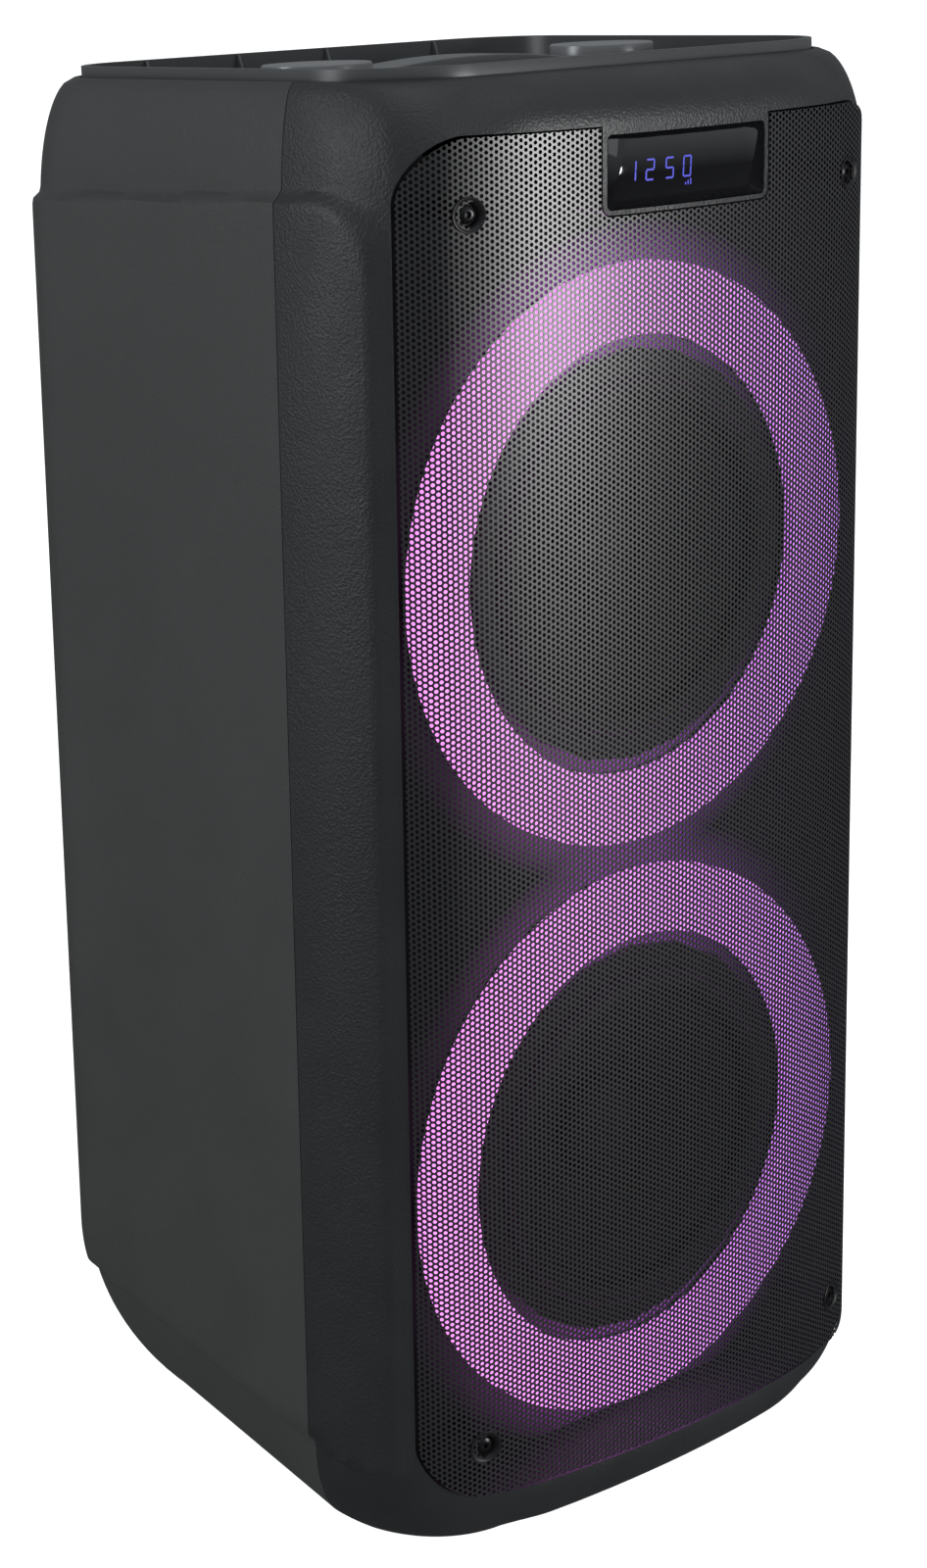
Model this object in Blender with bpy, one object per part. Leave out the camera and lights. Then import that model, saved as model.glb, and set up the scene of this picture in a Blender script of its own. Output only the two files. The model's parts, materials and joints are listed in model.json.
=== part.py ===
"""Dual 8-inch party speaker: moulded cabinet, bowed perforated grille, two light rings, top tray.

All sizes below are in millimetres. Every mesh is turned into metres by finished(), and every place by
put(). Depth (y) is measured backwards from the front of the grille, and the empty "cabinet" brings the
middle of the cabinet's depth to the world's origin. The floor is z = 0 and the front faces -Y.
"""

import math

import bmesh
import bpy
from mathutils import Matrix, Vector

MM = 0.001

# Cabinet
HALF_WIDTH = 169.3
DEPTH = 323.7
WALL = 4.0
REAR_WALL = 6.0
REAR_RADIUS = 32.0
SIDE_START = 104.3  # depth at which the side becomes straight
SEAM = 100.0  # depth of the joint between front frame and rear shell
BOTTOM = 8.5
TOP = 750.7
TOP_LINE = 40.0  # depth at which the top is TOP high
TOP_SLOPE = 0.036  # fall of the top towards the rear
GAP = 0.3  # between pieces that touch
FAR = 400.0  # a cutter with this reach passes the whole cabinet

# Bowed front: depth BOW at BOW_HALF from the middle, then a roll to the side
BOW_HALF = 135.0
BOW = 14.8
BOW_STEEPEN = 2.8
ROLL_RADIUS = 39.0
ROLL_END = math.radians(64)

# How the cabinet closes at its bottom and top: half width at front and rear, depths, corner radii
BOTTOM_PLAN = dict(front_half=147.1, rear_half=114.5, front=40.4, rear=256.8, front_r=57.7, rear_r=54.2)
TOP_PLAN = dict(front_half=159.7, rear_half=159.7, front=34.3, rear=309.0, front_r=58.3, rear_r=44.0)
# Height of the rounding between side and end: front middle, front corner, side, rear side, rear middle
BOTTOM_ROUND = (36.0, 63.4, 44.8, 105.1, 100.0)
TOP_ROUND = (27.0, 52.0, 69.2, 69.2, 75.0)
ROUND_STEPS = 5
BOW_STEPS = 7

# Raised panel on each side
BULGE = 5.0
BULGE_FRONT = (48.0, 167.0, 0.77)  # depth, where across the front edge is that deep, slope
BULGE_TOP = (70.0, 696.0, -0.068)  # depth, height at that depth, slope
BULGE_BOTTOM = (102.0, 61.0, 0.153)
BULGE_RADIUS_TOP = 28.0
BULGE_RADIUS_LOW = 16.0

# Grille
GRILLE_BOTTOM = 45.0
GRILLE_TOP = 725.5
GRILLE_HALF = 155.7
GRILLE_RADIUS = 30.0
GRILLE_SHEET = 1.2
GRILLE_GAP = 0.5
SCREW_X = 127.3
SCREW_HEIGHTS = {"lower": 72.5, "upper": 690.7}
CUP_RADIUS = 8.5

# Display tongue
TONGUE_HALF = 56.3
TONGUE_BOTTOM = 684.0
LENS_HALF = 52.8
LENS_BOTTOM = 687.0
LENS_TOP = 722.3

# Drivers and lights
CENTRES = {"lower": 196.4, "upper": 508.0}
LED_INNER = 111.7
LED_OUTER = 147.6
LED_FACE = 35.6
LED_THICK = 6.0
BAFFLE_FACE = 44.0
BAFFLE_THICK = 12.0
BASKET_RADIUS = 105.0
BASKET_THROAT = 93.0

# Top tray, in the plane of the sloping top: across, along (from TOP_LINE) and above
TRAY_INSET = -3.0
RIM = 5.5
RIM_WIDTH = 4.0
TRAY_FLOOR = -7.5
TRAY_UNDER = -12.0
BOARD_TOP = -20.0  # of the control board
BOARD_THICK = 1.6
BOARD_HALF = 118.0
WELL_HALF = 60.0
WELL = (78.0, 176.0)
WELL_FLOOR = -45.0
HANDLE = (112.0, 142.0)
DIAL_X = 96.0
DIAL_ALONG = 123.0
DIAL_RADIUS = 27.5
DIAL_UNDER = -2.3
DIAL_TOP = 4.7
BUTTON_XS = (-52.0, -26.0, 0.0, 26.0, 52.0)
BUTTON_ALONG = 34.0
BUTTON_RADIUS = 6.5

# Rear panel
PANEL = (-95.0, 95.0, 475.0, 655.0)
PANEL_FACE = 322.3
PANEL_THICK = 1.8
LEDGE = 9.0
ROCKER_TILT = math.radians(6)  # at rest, in the off position
PORT_HEIGHT = 300.0
PORT_BORE = 33.0
HOLE_FROM, HOLE_TO = 300.0, 340.0  # depths between which a fitting's hole is cut

FEET = {"front": (98.0, 78.0), "rear": (68.0, 212.0)}
FOOT_RADIUS = 15.0


def clear_scene():
    for obj in list(bpy.data.objects):
        bpy.data.objects.remove(obj, do_unlink=True)


def material(name, colour, roughness, metallic=0.0, glow=0.0):
    made = bpy.data.materials.new(name)
    made.use_nodes = True
    shader = made.node_tree.nodes["Principled BSDF"]
    shader.inputs["Base Color"].default_value = (*colour, 1)
    shader.inputs["Roughness"].default_value = roughness
    shader.inputs["Metallic"].default_value = metallic
    if glow:
        shader.inputs["Emission Color"].default_value = (*colour, 1)
        shader.inputs["Emission Strength"].default_value = glow
    made.diffuse_color = (*colour, 1)
    return made


def empty(name, place, tilt=0.0, parent=None):
    made = bpy.data.objects.new(name, None)
    bpy.context.collection.objects.link(made)
    made.location = Vector(place) * MM
    made.rotation_euler.x = tilt
    made.parent = parent
    return made


def finished(name, mesh, parent, place=(0, 0, 0), turn=(0, 0, 0)):
    """An object from a closed bmesh in millimetres, with its faces turned outwards."""
    bmesh.ops.recalc_face_normals(mesh, faces=mesh.faces)
    bmesh.ops.scale(mesh, vec=(MM, MM, MM), verts=mesh.verts)
    data = bpy.data.meshes.new(name)
    mesh.to_mesh(data)
    mesh.free()
    made = bpy.data.objects.new(name, data)
    bpy.context.collection.objects.link(made)
    made.parent = parent
    made.location = Vector(place) * MM
    made.rotation_euler = turn
    return made


def piece(name, mesh, look, parent, place=(0, 0, 0), turn=(0, 0, 0)):
    made = finished(name, mesh, parent, place, turn)
    made.data.materials.append(look)
    made.data.shade_smooth()
    made.data.set_sharp_from_angle(angle=math.radians(32))
    return made


def helper(name, mesh, parent, place=(0, 0, 0), turn=(0, 0, 0)):
    """A cutter or joiner: the booleans read it, and the finished model leaves it out."""
    made = finished("helper_" + name, mesh, parent, place, turn)
    made.hide_render = True
    made.display_type = "WIRE"
    return made


def combine(obj, other, operation="DIFFERENCE"):
    step = obj.modifiers.new(operation.lower(), "BOOLEAN")
    step.operation = operation
    step.solver = "EXACT"
    step.object = other


# Outlines


def arc(cx, cy, radius, start, end, steps):
    """Points round a centre, angles in degrees, both ends included."""
    turns = [math.radians(start + (end - start) * i / steps) for i in range(steps + 1)]
    return [(cx + radius * math.cos(a), cy + radius * math.sin(a)) for a in turns]


def rounded(x0, x1, y0, y1, radius, steps=5):
    corners = [(x1, y0, -90), (x1, y1, 0), (x0, y1, 90), (x0, y0, 180)]
    points = []
    for x, y, start in corners:
        cx = x - math.copysign(radius, x - x0 - radius)
        cy = y - math.copysign(radius, y - y0 - radius)
        points += arc(cx, cy, radius, start, start + 90, steps)
    return points


def bow(x):
    """Depth of the bowed front at a distance x from the middle."""
    share = (x / BOW_HALF) ** 2
    return BOW * share + BOW_STEEPEN * share**3


ROLL_START = math.atan((2 * BOW + 6 * BOW_STEEPEN) / BOW_HALF)


def roll(angle):
    x = BOW_HALF + ROLL_RADIUS * (math.sin(angle) - math.sin(ROLL_START))
    return x, bow(BOW_HALF) + ROLL_RADIUS * (math.cos(ROLL_START) - math.cos(angle))


def front_curve(end, bow_steps=BOW_STEPS, roll_steps=5):
    """Right half of the bowed front, from the middle to where the roll has turned by `end`."""
    points = [(BOW_HALF * i / bow_steps, bow(BOW_HALF * i / bow_steps)) for i in range(bow_steps + 1)]
    for i in range(1, roll_steps + 1):
        points.append(roll(ROLL_START + (end - ROLL_START) * i / roll_steps))
    return points


def widest_plan(roll_steps=5, blend_steps=4, corner_steps=5):
    """Right half of the cabinet's outline, from the front middle to the rear middle."""
    points = front_curve(ROLL_END, BOW_STEPS, roll_steps)
    x0, y0 = points[-1]
    reach = (HALF_WIDTH - x0) / math.cos(ROLL_END)
    y1 = min(y0 + reach * math.sin(ROLL_END), SIDE_START - 1)
    for i in range(1, blend_steps + 1):
        t = i / blend_steps
        x = (1 - t) ** 2 * x0 + (1 - (1 - t) ** 2) * HALF_WIDTH
        y = (1 - t) ** 2 * y0 + 2 * t * (1 - t) * y1 + t * t * SIDE_START
        points.append((x, y))
    points += arc(HALF_WIDTH - REAR_RADIUS, DEPTH - REAR_RADIUS, REAR_RADIUS, 0, 90, corner_steps)
    return points + [(0, DEPTH)]


def end_plan(front_half, rear_half, front, rear, front_r, rear_r, grow=0.0, corner=9, turns=5):
    """Right half of a rounded outline with as many points as widest_plan, grown by `grow`."""
    front_half, rear_half = front_half + grow, rear_half + grow
    front, rear, front_r, rear_r = front - grow, rear + grow, front_r + grow, rear_r + grow
    straight = front_half - front_r
    points = [(straight * i / BOW_STEPS, front) for i in range(BOW_STEPS + 1)]
    points += arc(straight, front + front_r, front_r, -90, 0, corner)[1:]
    points += arc(rear_half - rear_r, rear - rear_r, rear_r, 0, 90, turns)
    return points + [(0, rear)]


def both_sides(half):
    """A whole outline from its right half, whose first and last points are on the middle line."""
    return half + [(-x, y) for x, y in reversed(half[1:-1])]


def blend(value, low, high, a, b):
    t = min(max((value - low) / (high - low), 0), 1)
    t = t * t * (3 - 2 * t)
    return a + (b - a) * t


def rounding(x, y, heights):
    middle, corner, side, rear_side, rear = heights
    if y > DEPTH - 1:
        return rear
    if y > 70:
        return blend(y, 70, 300, side, rear_side)
    front = blend(x, 90, 150, middle, corner)
    return blend(y, 30, 70, front, side)


def cabinet_loops(inset=0.0, rear_inset=0.0):
    """Outlines from bottom to top, each a list of (x, y, z). An inset makes the inside of the walls."""
    wide = widest_plan()
    ends = (end_plan(**BOTTOM_PLAN), end_plan(**TOP_PLAN))
    levels = [i / ROUND_STEPS for i in range(ROUND_STEPS + 1)]
    loops = []
    for end, heights, shares in ((ends[0], BOTTOM_ROUND, levels[::-1]), (ends[1], TOP_ROUND, levels)):
        for share in shares:
            pull = 1 - math.sqrt(1 - 0.999 * share**2)
            row = []
            for (x, y), (ex, ey) in zip(wide, end):
                height = rounding(x, y, heights)
                px, py = x + (ex - x) * pull, y + (ey - y) * pull
                ceiling = TOP - TOP_SLOPE * (py - TOP_LINE) - inset
                if heights is BOTTOM_ROUND:
                    pz = BOTTOM + inset + height * (1 - share)
                else:
                    pz = ceiling - height * (1 - share)
                row.append((px, py, pz))
            loops.append(inwards(row, inset, rear_inset))
    return loops


def inwards(row, inset, rear_inset):
    """The half loop mirrored into a whole one, moved towards the inside by `inset`."""
    whole = row + [(-x, y, z) for x, y, z in reversed(row[1:-1])]
    if not inset:
        return whole
    moved = []
    for i, (x, y, z) in enumerate(whole):
        ax, ay, _ = whole[i - 1]
        bx, by, _ = whole[(i + 1) % len(whole)]
        length = math.hypot(bx - ax, by - ay)
        nx, ny = (by - ay) / length, (ax - bx) / length
        moved.append((x - nx * inset, min(y - ny * inset, DEPTH - rear_inset), z))
    return moved


# Solids


def loft(loops):
    mesh = bmesh.new()
    rings = [[mesh.verts.new(point) for point in loop] for loop in loops]
    for low, high in zip(rings, rings[1:]):
        for i in range(len(low)):
            j = (i + 1) % len(low)
            mesh.faces.new((low[i], low[j], high[j], high[i]))
    mesh.faces.new(rings[0])
    mesh.faces.new(rings[-1])
    if len(loops) > 2:
        bmesh.ops.triangulate(mesh, faces=mesh.faces)
    return mesh


def prism(outline, low, high, along="z"):
    """An outline extruded along an axis: (x, y) along z, (x, z) along y, (y, z) along x."""
    place = {
        "z": lambda u, v, h: (u, v, h),
        "y": lambda u, v, h: (u, h, v),
        "x": lambda u, v, h: (h, u, v),
    }[along]
    return loft([[place(u, v, h) for u, v in outline] for h in (low, high)])


def box(x0, x1, y0, y1, z0, z1):
    mesh = bmesh.new()
    bmesh.ops.create_cube(mesh, size=1)
    bmesh.ops.scale(mesh, vec=(x1 - x0, y1 - y0, z1 - z0), verts=mesh.verts)
    middle = Vector((x0 + x1, y0 + y1, z0 + z1)) / 2
    bmesh.ops.translate(mesh, vec=middle, verts=mesh.verts)
    return mesh


def turned(profile, steps, along="y"):
    """A closed profile of (radius, height) points spun round the y or z axis."""
    mesh = bmesh.new()
    verts = [mesh.verts.new((radius, 0, height)) for radius, height in profile]
    edges = [mesh.edges.new((verts[i - 1], verts[i])) for i in range(len(verts))]
    bmesh.ops.spin(
        mesh, geom=verts + edges, axis=(0, 0, 1), cent=(0, 0, 0), angle=math.tau, steps=steps, use_merge=True
    )
    bmesh.ops.remove_doubles(mesh, verts=mesh.verts, dist=0.001)
    flat = [edge for edge in mesh.edges if not edge.link_faces]
    bmesh.ops.delete(mesh, geom=flat, context="EDGES")
    if along == "y":
        bmesh.ops.rotate(mesh, verts=mesh.verts, cent=(0, 0, 0), matrix=Matrix.Rotation(-math.pi / 2, 3, "X"))
    return mesh


def disc(radius, low, high, steps=24, along="z"):
    return turned([(0, low), (radius, low), (radius, high), (0, high)], steps, along)


def join(mesh, *others):
    """Adds other shapes' faces to a bmesh. They must not meet it: a helper may hold several solids."""
    for other in others:
        data = bpy.data.meshes.new("joined")
        other.to_mesh(data)
        other.free()
        mesh.from_mesh(data)
        bpy.data.meshes.remove(data)
    return mesh


def bowed_sheet(end, offset, thick, low, high):
    """The bowed front as a sheet, `offset` behind the grille's face."""
    half = front_curve(end)

    def moved(distance):
        points = []
        for i, (x, y) in enumerate(half):
            ax, ay = half[max(i - 1, 0)]
            bx, by = half[min(i + 1, len(half) - 1)]
            if i == 0:
                ax, ay = -half[1][0], half[1][1]
            length = math.hypot(bx - ax, by - ay)
            points.append((x - (by - ay) / length * distance, y + (bx - ax) / length * distance))
        return points

    front, back = moved(offset), moved(offset + thick)
    outline = [(-x, y) for x, y in reversed(front[1:])] + front
    outline += list(reversed(back)) + [(-x, y) for x, y in back[1:]]
    return prism(outline, low, high)


def grille_outline(grow):
    """Rounded rectangle with a notch for the display tongue, grown by `grow`, as (x, z) points."""
    half, low, high = GRILLE_HALF + grow, GRILLE_BOTTOM - grow, GRILLE_TOP + grow
    radius = GRILLE_RADIUS + grow
    notch, floor, small = TONGUE_HALF - grow, TONGUE_BOTTOM + grow, 6.0 - grow
    right = arc(half - radius, low + radius, radius, -90, 0, 6)
    right += arc(half - radius, high - radius, radius, 0, 90, 6)
    right += [(notch, high), (notch, floor + small)]
    right += arc(notch - small, floor + small, small, 0, -90, 3)[1:]
    return right + [(-x, z) for x, z in reversed(right)]


# Cabinet pieces


def side_panel_helper(side, cabinet):
    """The raised panel of one side: a block with 45 degree edges, trimmed to the cabinet's outline."""
    far = DEPTH + 60

    def edge(line, y, grow):
        start, height, slope = line
        return height + slope * (y - start) + grow

    def window(x):
        grow = HALF_WIDTH + BULGE - x
        radius_top, radius_low = BULGE_RADIUS_TOP + grow, BULGE_RADIUS_LOW + grow
        depth, across, slope = BULGE_FRONT
        front = depth + slope * (x - across)
        points = [(far, edge(BULGE_BOTTOM, far, -grow)), (far, edge(BULGE_TOP, far, grow))]
        centre = (front + radius_top, edge(BULGE_TOP, front + radius_top, grow) - radius_top)
        points += arc(*centre, radius_top, 90, 180, 5)
        centre = (front + radius_low, edge(BULGE_BOTTOM, front + radius_low, -grow) + radius_low)
        points += arc(*centre, radius_low, 180, 270, 4)
        return points

    inner, outer = HALF_WIDTH - 25, HALF_WIDTH + BULGE + 10
    loops = []
    for x in (inner, outer):
        loops.append([(side * x, y, z) for y, z in window(x)])
    block = helper(f"side_block_{'left' if side < 0 else 'right'}", loft(loops), cabinet)
    plan = [(x + BULGE, y) for x, y in widest_plan() if x > 120 and y > 20]
    plan = [(100.0, plan[0][1])] + plan + [(100.0, DEPTH)]
    trim = prism([(side * x, y) for x, y in plan], 20, 720)
    combine(block, helper(f"side_trim_{'left' if side < 0 else 'right'}", trim, cabinet), "INTERSECT")
    return block


def grille_tilt(x):
    """Turn about Z that makes something lie on the grille at a distance x from the middle."""
    share = (abs(x) / BOW_HALF) ** 2
    slope = (2 * BOW * share + 6 * BOW_STEEPEN * share**3) / abs(x)
    return math.copysign(math.atan(slope), x)


def build_cabinet(cabinet, top_plane, looks):
    """Front frame and rear shell: one lofted hollow body with raised sides, parted at the seam."""
    hollow = helper("hollow", loft(cabinet_loops(WALL, REAR_WALL)), cabinet)
    panels = [side_panel_helper(side, cabinet) for side in (-1, 1)]
    tray_hole = prism(both_sides(tray_plan(TRAY_INSET + 0.4)), -30, 20)
    tray_hole = helper("tray_hole", tray_hole, top_plane)
    front = piece("front_frame", loft(cabinet_loops()), looks["frame"], cabinet)
    rear = piece("rear_shell", loft(cabinet_loops()), looks["shell"], cabinet)
    for shell in (front, rear):
        for panel in panels:
            combine(shell, panel, "UNION")
        combine(shell, hollow)
        combine(shell, tray_hole)
    behind = box(-FAR, FAR, SEAM - GAP / 2, FAR, -FAR, 2 * FAR)
    combine(front, helper("behind_seam", behind, cabinet))
    before = box(-FAR, FAR, -FAR, SEAM + GAP / 2, -FAR, 2 * FAR)
    combine(rear, helper("before_seam", before, cabinet))
    opening = prism(grille_outline(GRILLE_GAP), -20, SEAM - 20, "y")
    combine(front, helper("grille_opening", opening, cabinet))
    window = rounded(-LENS_HALF, LENS_HALF, LENS_BOTTOM, LENS_TOP, 3.0, 3)
    combine(front, helper("lens_window", prism(window, -20, 25, "y"), cabinet))
    x0, x1, z0, z1 = PANEL
    recess = prism(rounded(x0 - GAP, x1 + GAP, z0 - GAP, z1 + GAP, 8.0), PANEL_FACE - PANEL_THICK - GAP, FAR, "y")
    combine(rear, helper("panel_recess", recess, cabinet))
    hole = prism(rounded(x0 + LEDGE, x1 - LEDGE, z0 + LEDGE, z1 - LEDGE, 5.0), 280, FAR, "y")
    combine(rear, helper("panel_hole", hole, cabinet))
    port = turned([(0, 280), (37, 280), (37, 321.2), (44.4, 321.2), (44.4, 340), (0, 340)], 24)
    combine(rear, helper("port_hole", port, cabinet, (0, 0, PORT_HEIGHT)))


def build_grille(cabinet, looks):
    """The bowed sheet, its four cups and their screws."""
    sheet = bowed_sheet(math.radians(58.5), 0, GRILLE_SHEET, 20, 750)
    grille = piece("grille", sheet, looks["grille"], cabinet)
    combine(grille, helper("grille_trim", prism(grille_outline(0), -10, 60, "y"), cabinet), "INTERSECT")
    reach = CUP_RADIUS
    cup = [(2.3, 4.2), (6.0, 4.2), (6.0, -0.2), (reach, -0.2), (reach, -0.8), (5.3, -0.8), (5.3, 3.5), (2.3, 3.5)]
    head = [(0, 19.0), (1.9, 19.0), (1.9, 3.2), (4.4, 3.2), (4.4, 2.0), (3.9, 1.1), (2.6, 0.6), (0, 0.6)]
    socket = [(1.5 * math.cos(i * math.tau / 6), 1.5 * math.sin(i * math.tau / 6)) for i in range(6)]
    for side, x in (("left", -SCREW_X), ("right", SCREW_X)):
        for level, height in SCREW_HEIGHTS.items():
            place, turn = (x, bow(x), height), (0, 0, grille_tilt(x))
            hole = helper(f"cup_hole_{side}_{level}", disc(6.3, -5, 8, 16, "y"), cabinet, place, turn)
            combine(grille, hole)
            piece(f"grille_cup_{side}_{level}", turned(cup, 14), looks["cup"], cabinet, place, turn)
            name = f"grille_screw_{side}_{level}"
            screw = piece(name, turned(head, 12), looks["screw"], cabinet, place, turn)
            bit = prism(socket, -1, 2.0, "y")
            combine(screw, helper(f"hex_{side}_{level}", bit, cabinet, place, turn))


def build_baffle(cabinet, looks):
    """The board behind the grille, with a hole for each woofer and a boss for each grille screw."""
    baffle = piece("baffle", loft(cabinet_loops(WALL + 0.6, REAR_WALL)), looks["board"], cabinet)
    slab = box(-FAR, FAR, BAFFLE_FACE, BAFFLE_FACE + BAFFLE_THICK, 24, 716)
    combine(baffle, helper("baffle_slab", slab, cabinet), "INTERSECT")
    for level, height in CENTRES.items():
        hole = disc(BASKET_THROAT + 2, 20, 80, 32, "y")
        combine(baffle, helper(f"woofer_hole_{level}", hole, cabinet, (0, 0, height)))
    for side, x in (("left", -SCREW_X), ("right", SCREW_X)):
        for level, height in SCREW_HEIGHTS.items():
            place, turn = (x, bow(x), height), (0, 0, grille_tilt(x))
            boss = helper(f"boss_{side}_{level}", disc(5.5, 5.0, 36, 16, "y"), cabinet, place, turn)
            combine(baffle, boss, "UNION")
            bore = helper(f"bore_{side}_{level}", disc(2.2, 0, 22, 12, "y"), cabinet, place, turn)
            combine(baffle, bore)


def build_drivers(cabinet, looks):
    """Each level has a light ring on its board, and a woofer made of basket, surround, cone and magnet."""
    back, ring_back = BAFFLE_FACE - GAP, LED_FACE + LED_THICK
    ring = [(LED_INNER, LED_FACE), (LED_OUTER, LED_FACE), (LED_OUTER, ring_back), (LED_INNER, ring_back)]
    board = [(LED_INNER, ring_back + GAP), (LED_OUTER, ring_back + GAP), (LED_OUTER, back), (LED_INNER, back)]
    throat = BASKET_THROAT
    basket = [(throat, 40), (BASKET_RADIUS, 40), (BASKET_RADIUS, back), (throat + 0.5, back), (86, 62)]
    basket += [(62, 104), (30, 104), (30, 101), (59, 101), (83, 62), (90, 46)]
    crest = arc(84.8, 39, 6.8, 180, 360, 3)
    bed = arc(84.8, 39, 5.4, 360, 180, 3)
    surround = [(77.0, 39.6), (77.0, 38.4)] + crest + [(92.3, 38.4), (92.3, 39.6)] + bed
    cone = [(76.5, 38.4), (76.5, 39.8), (50, 60), (27, 71), (27, 96), (25.6, 96), (25.6, 70.2), (50, 58.4)]
    cap = [(0, 55.5), (12, 57.2), (21, 62.0), (26.5, 68.6), (24.5, 68.8), (19.5, 63.6), (11, 59.0), (0, 57.2)]
    magnet = [(0, 108), (56, 108), (60, 110), (60, 132), (56, 134), (0, 134)]
    for level, height in CENTRES.items():
        place = (0, 0, height)
        piece(f"led_ring_{level}", turned(ring, 36), looks["light"], cabinet, place)
        piece(f"led_board_{level}", turned(board, 28), looks["circuit"], cabinet, place)
        piece(f"woofer_basket_{level}", turned(basket, 20), looks["basket"], cabinet, place)
        piece(f"woofer_surround_{level}", turned(surround, 24), looks["rubber"], cabinet, place)
        piece(f"woofer_cone_{level}", turned(cone, 24), looks["cone"], cabinet, place)
        piece(f"dust_cap_{level}", turned(cap, 20), looks["cone"], cabinet, place)
        piece(f"woofer_magnet_{level}", turned(magnet, 20), looks["magnet"], cabinet, place)


def build_display(cabinet, looks):
    """A bowed lens in the tongue's window, and the board behind it."""
    sheet = bowed_sheet(math.radians(30), 0.7, 2.4, 670, 740)
    lens = piece("display_lens", sheet, looks["lens"], cabinet)
    edge = rounded(-LENS_HALF + GAP, LENS_HALF - GAP, LENS_BOTTOM + GAP, LENS_TOP - GAP, 2.7, 3)
    combine(lens, helper("lens_trim", prism(edge, -10, 25, "y"), cabinet), "INTERSECT")
    piece("display_board", box(-50, 50, 9.0, 11.0, 689, 720), looks["circuit"], cabinet)


# Top pieces, in the plane of the sloping top


def tray_plan(grow):
    """Right half of the tray's outline, with depths counted from TOP_LINE."""
    return [(x, y - TOP_LINE) for x, y in end_plan(**TOP_PLAN, grow=grow)]


def build_tray(top_plane, looks):
    """Rim, recessed floor, an island under each dial and a well below the handle."""
    tray = piece("top_tray", prism(both_sides(tray_plan(TRAY_INSET)), TRAY_UNDER, RIM), looks["tray"], top_plane)
    pocket = prism(both_sides(tray_plan(TRAY_INSET - RIM_WIDTH)), TRAY_FLOOR, 30)
    combine(tray, helper("tray_pocket", pocket, top_plane))
    outer = rounded(-WELL_HALF - 3, WELL_HALF + 3, WELL[0] - 3, WELL[1] + 3, 15)
    combine(tray, helper("well_wall", prism(outer, WELL_FLOOR - 3, TRAY_FLOOR - 1), top_plane), "UNION")
    inner = rounded(-WELL_HALF, WELL_HALF, WELL[0], WELL[1], 12)
    combine(tray, helper("well_inside", prism(inner, WELL_FLOOR, 30), top_plane))
    for side, x in (("left", -DIAL_X), ("right", DIAL_X)):
        island = disc(DIAL_RADIUS + 1.5, TRAY_FLOOR - 2, DIAL_UNDER - 0.5, 24)
        place = (x, DIAL_ALONG, 0)
        combine(tray, helper(f"island_{side}", island, top_plane, place), "UNION")
        combine(tray, helper(f"shaft_hole_{side}", disc(4.5, -30, 10, 12), top_plane, place))
    for i, x in enumerate(BUTTON_XS):
        hole = disc(BUTTON_RADIUS + 0.4, -30, 10, 12)
        combine(tray, helper(f"button_hole_{i + 1}", hole, top_plane, (x, BUTTON_ALONG, 0)))


def build_handle(top_plane, looks):
    """An arched bar over the well, with a foot at each end that stands on the tray's floor."""
    low, high = HANDLE
    reach = WELL_HALF + 5
    foot = TRAY_FLOOR + GAP
    over = [(reach * (1 - i / 6), 3.5 - 4.5 * (1 - i / 6) ** 2) for i in range(13)]
    under = [(-WELL_HALF + 4 + (WELL_HALF - 4) * i / 3, -10 + 2 * (1 - (i / 3 - 1) ** 2)) for i in range(7)]
    outline = over + [(-reach, foot), (-WELL_HALF - 0.5, foot)] + under + [(WELL_HALF + 0.5, foot), (reach, foot)]
    piece("carry_handle", prism(outline, low, high, "y"), looks["handle"], top_plane)


def build_controls(top_plane, looks):
    """Dials on their encoders, push-buttons, and the board that carries them."""
    edge = DIAL_TOP
    dial = [(3.3, DIAL_UNDER), (27.0, DIAL_UNDER), (DIAL_RADIUS, DIAL_UNDER + 0.6), (DIAL_RADIUS, edge - 1.2)]
    dial += [(26.6, edge), (23.5, edge), (18.0, edge - 1.1), (0, edge - 1.6), (0, edge - 3.4), (3.3, edge - 3.4)]
    for side, x in (("left", -DIAL_X), ("right", DIAL_X)):
        place = (x, DIAL_ALONG, 0)
        knob = piece(f"dial_{side}", turned(dial, 32, "z"), looks["dial"], top_plane, place)
        notch = box(-0.8, 0.8, -26.0, -19.5, edge - 0.8, edge + 2)
        combine(knob, helper(f"dial_mark_{side}", notch, top_plane, place))
        shaft = disc(3.0, BOARD_TOP + 1, edge - 3.8, 12)
        encoder = piece(f"encoder_{side}", shaft, looks["metal"], top_plane, place)
        case = box(-7, 7, -6.5, 6.5, BOARD_TOP + GAP, TRAY_UNDER - 0.5)
        combine(encoder, helper(f"encoder_case_{side}", case, top_plane, place), "UNION")
    cap_low, cap_high = BOARD_TOP + 2.5, TRAY_FLOOR + 3.0
    cap = [(0, cap_low), (BUTTON_RADIUS, cap_low), (BUTTON_RADIUS, cap_high - 0.8)]
    cap += [(BUTTON_RADIUS - 0.8, cap_high), (0, cap_high)]
    for i, x in enumerate(BUTTON_XS):
        place = (x, BUTTON_ALONG, 0)
        piece(f"button_{i + 1}", turned(cap, 16, "z"), looks["button"], top_plane, place)
    mesh = box(-BOARD_HALF, BOARD_HALF, BUTTON_ALONG - 12, WELL[0] - 5, BOARD_TOP - BOARD_THICK, BOARD_TOP)
    board = piece("control_board", mesh, looks["circuit"], top_plane)
    for side, x in (("left", -DIAL_X), ("right", DIAL_X)):
        wing = box(x - 22, x + 22, WELL[0] - 8, DIAL_ALONG + 14, BOARD_TOP - BOARD_THICK, BOARD_TOP)
        combine(board, helper(f"board_wing_{side}", wing, top_plane), "UNION")


# Rear and inside


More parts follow.
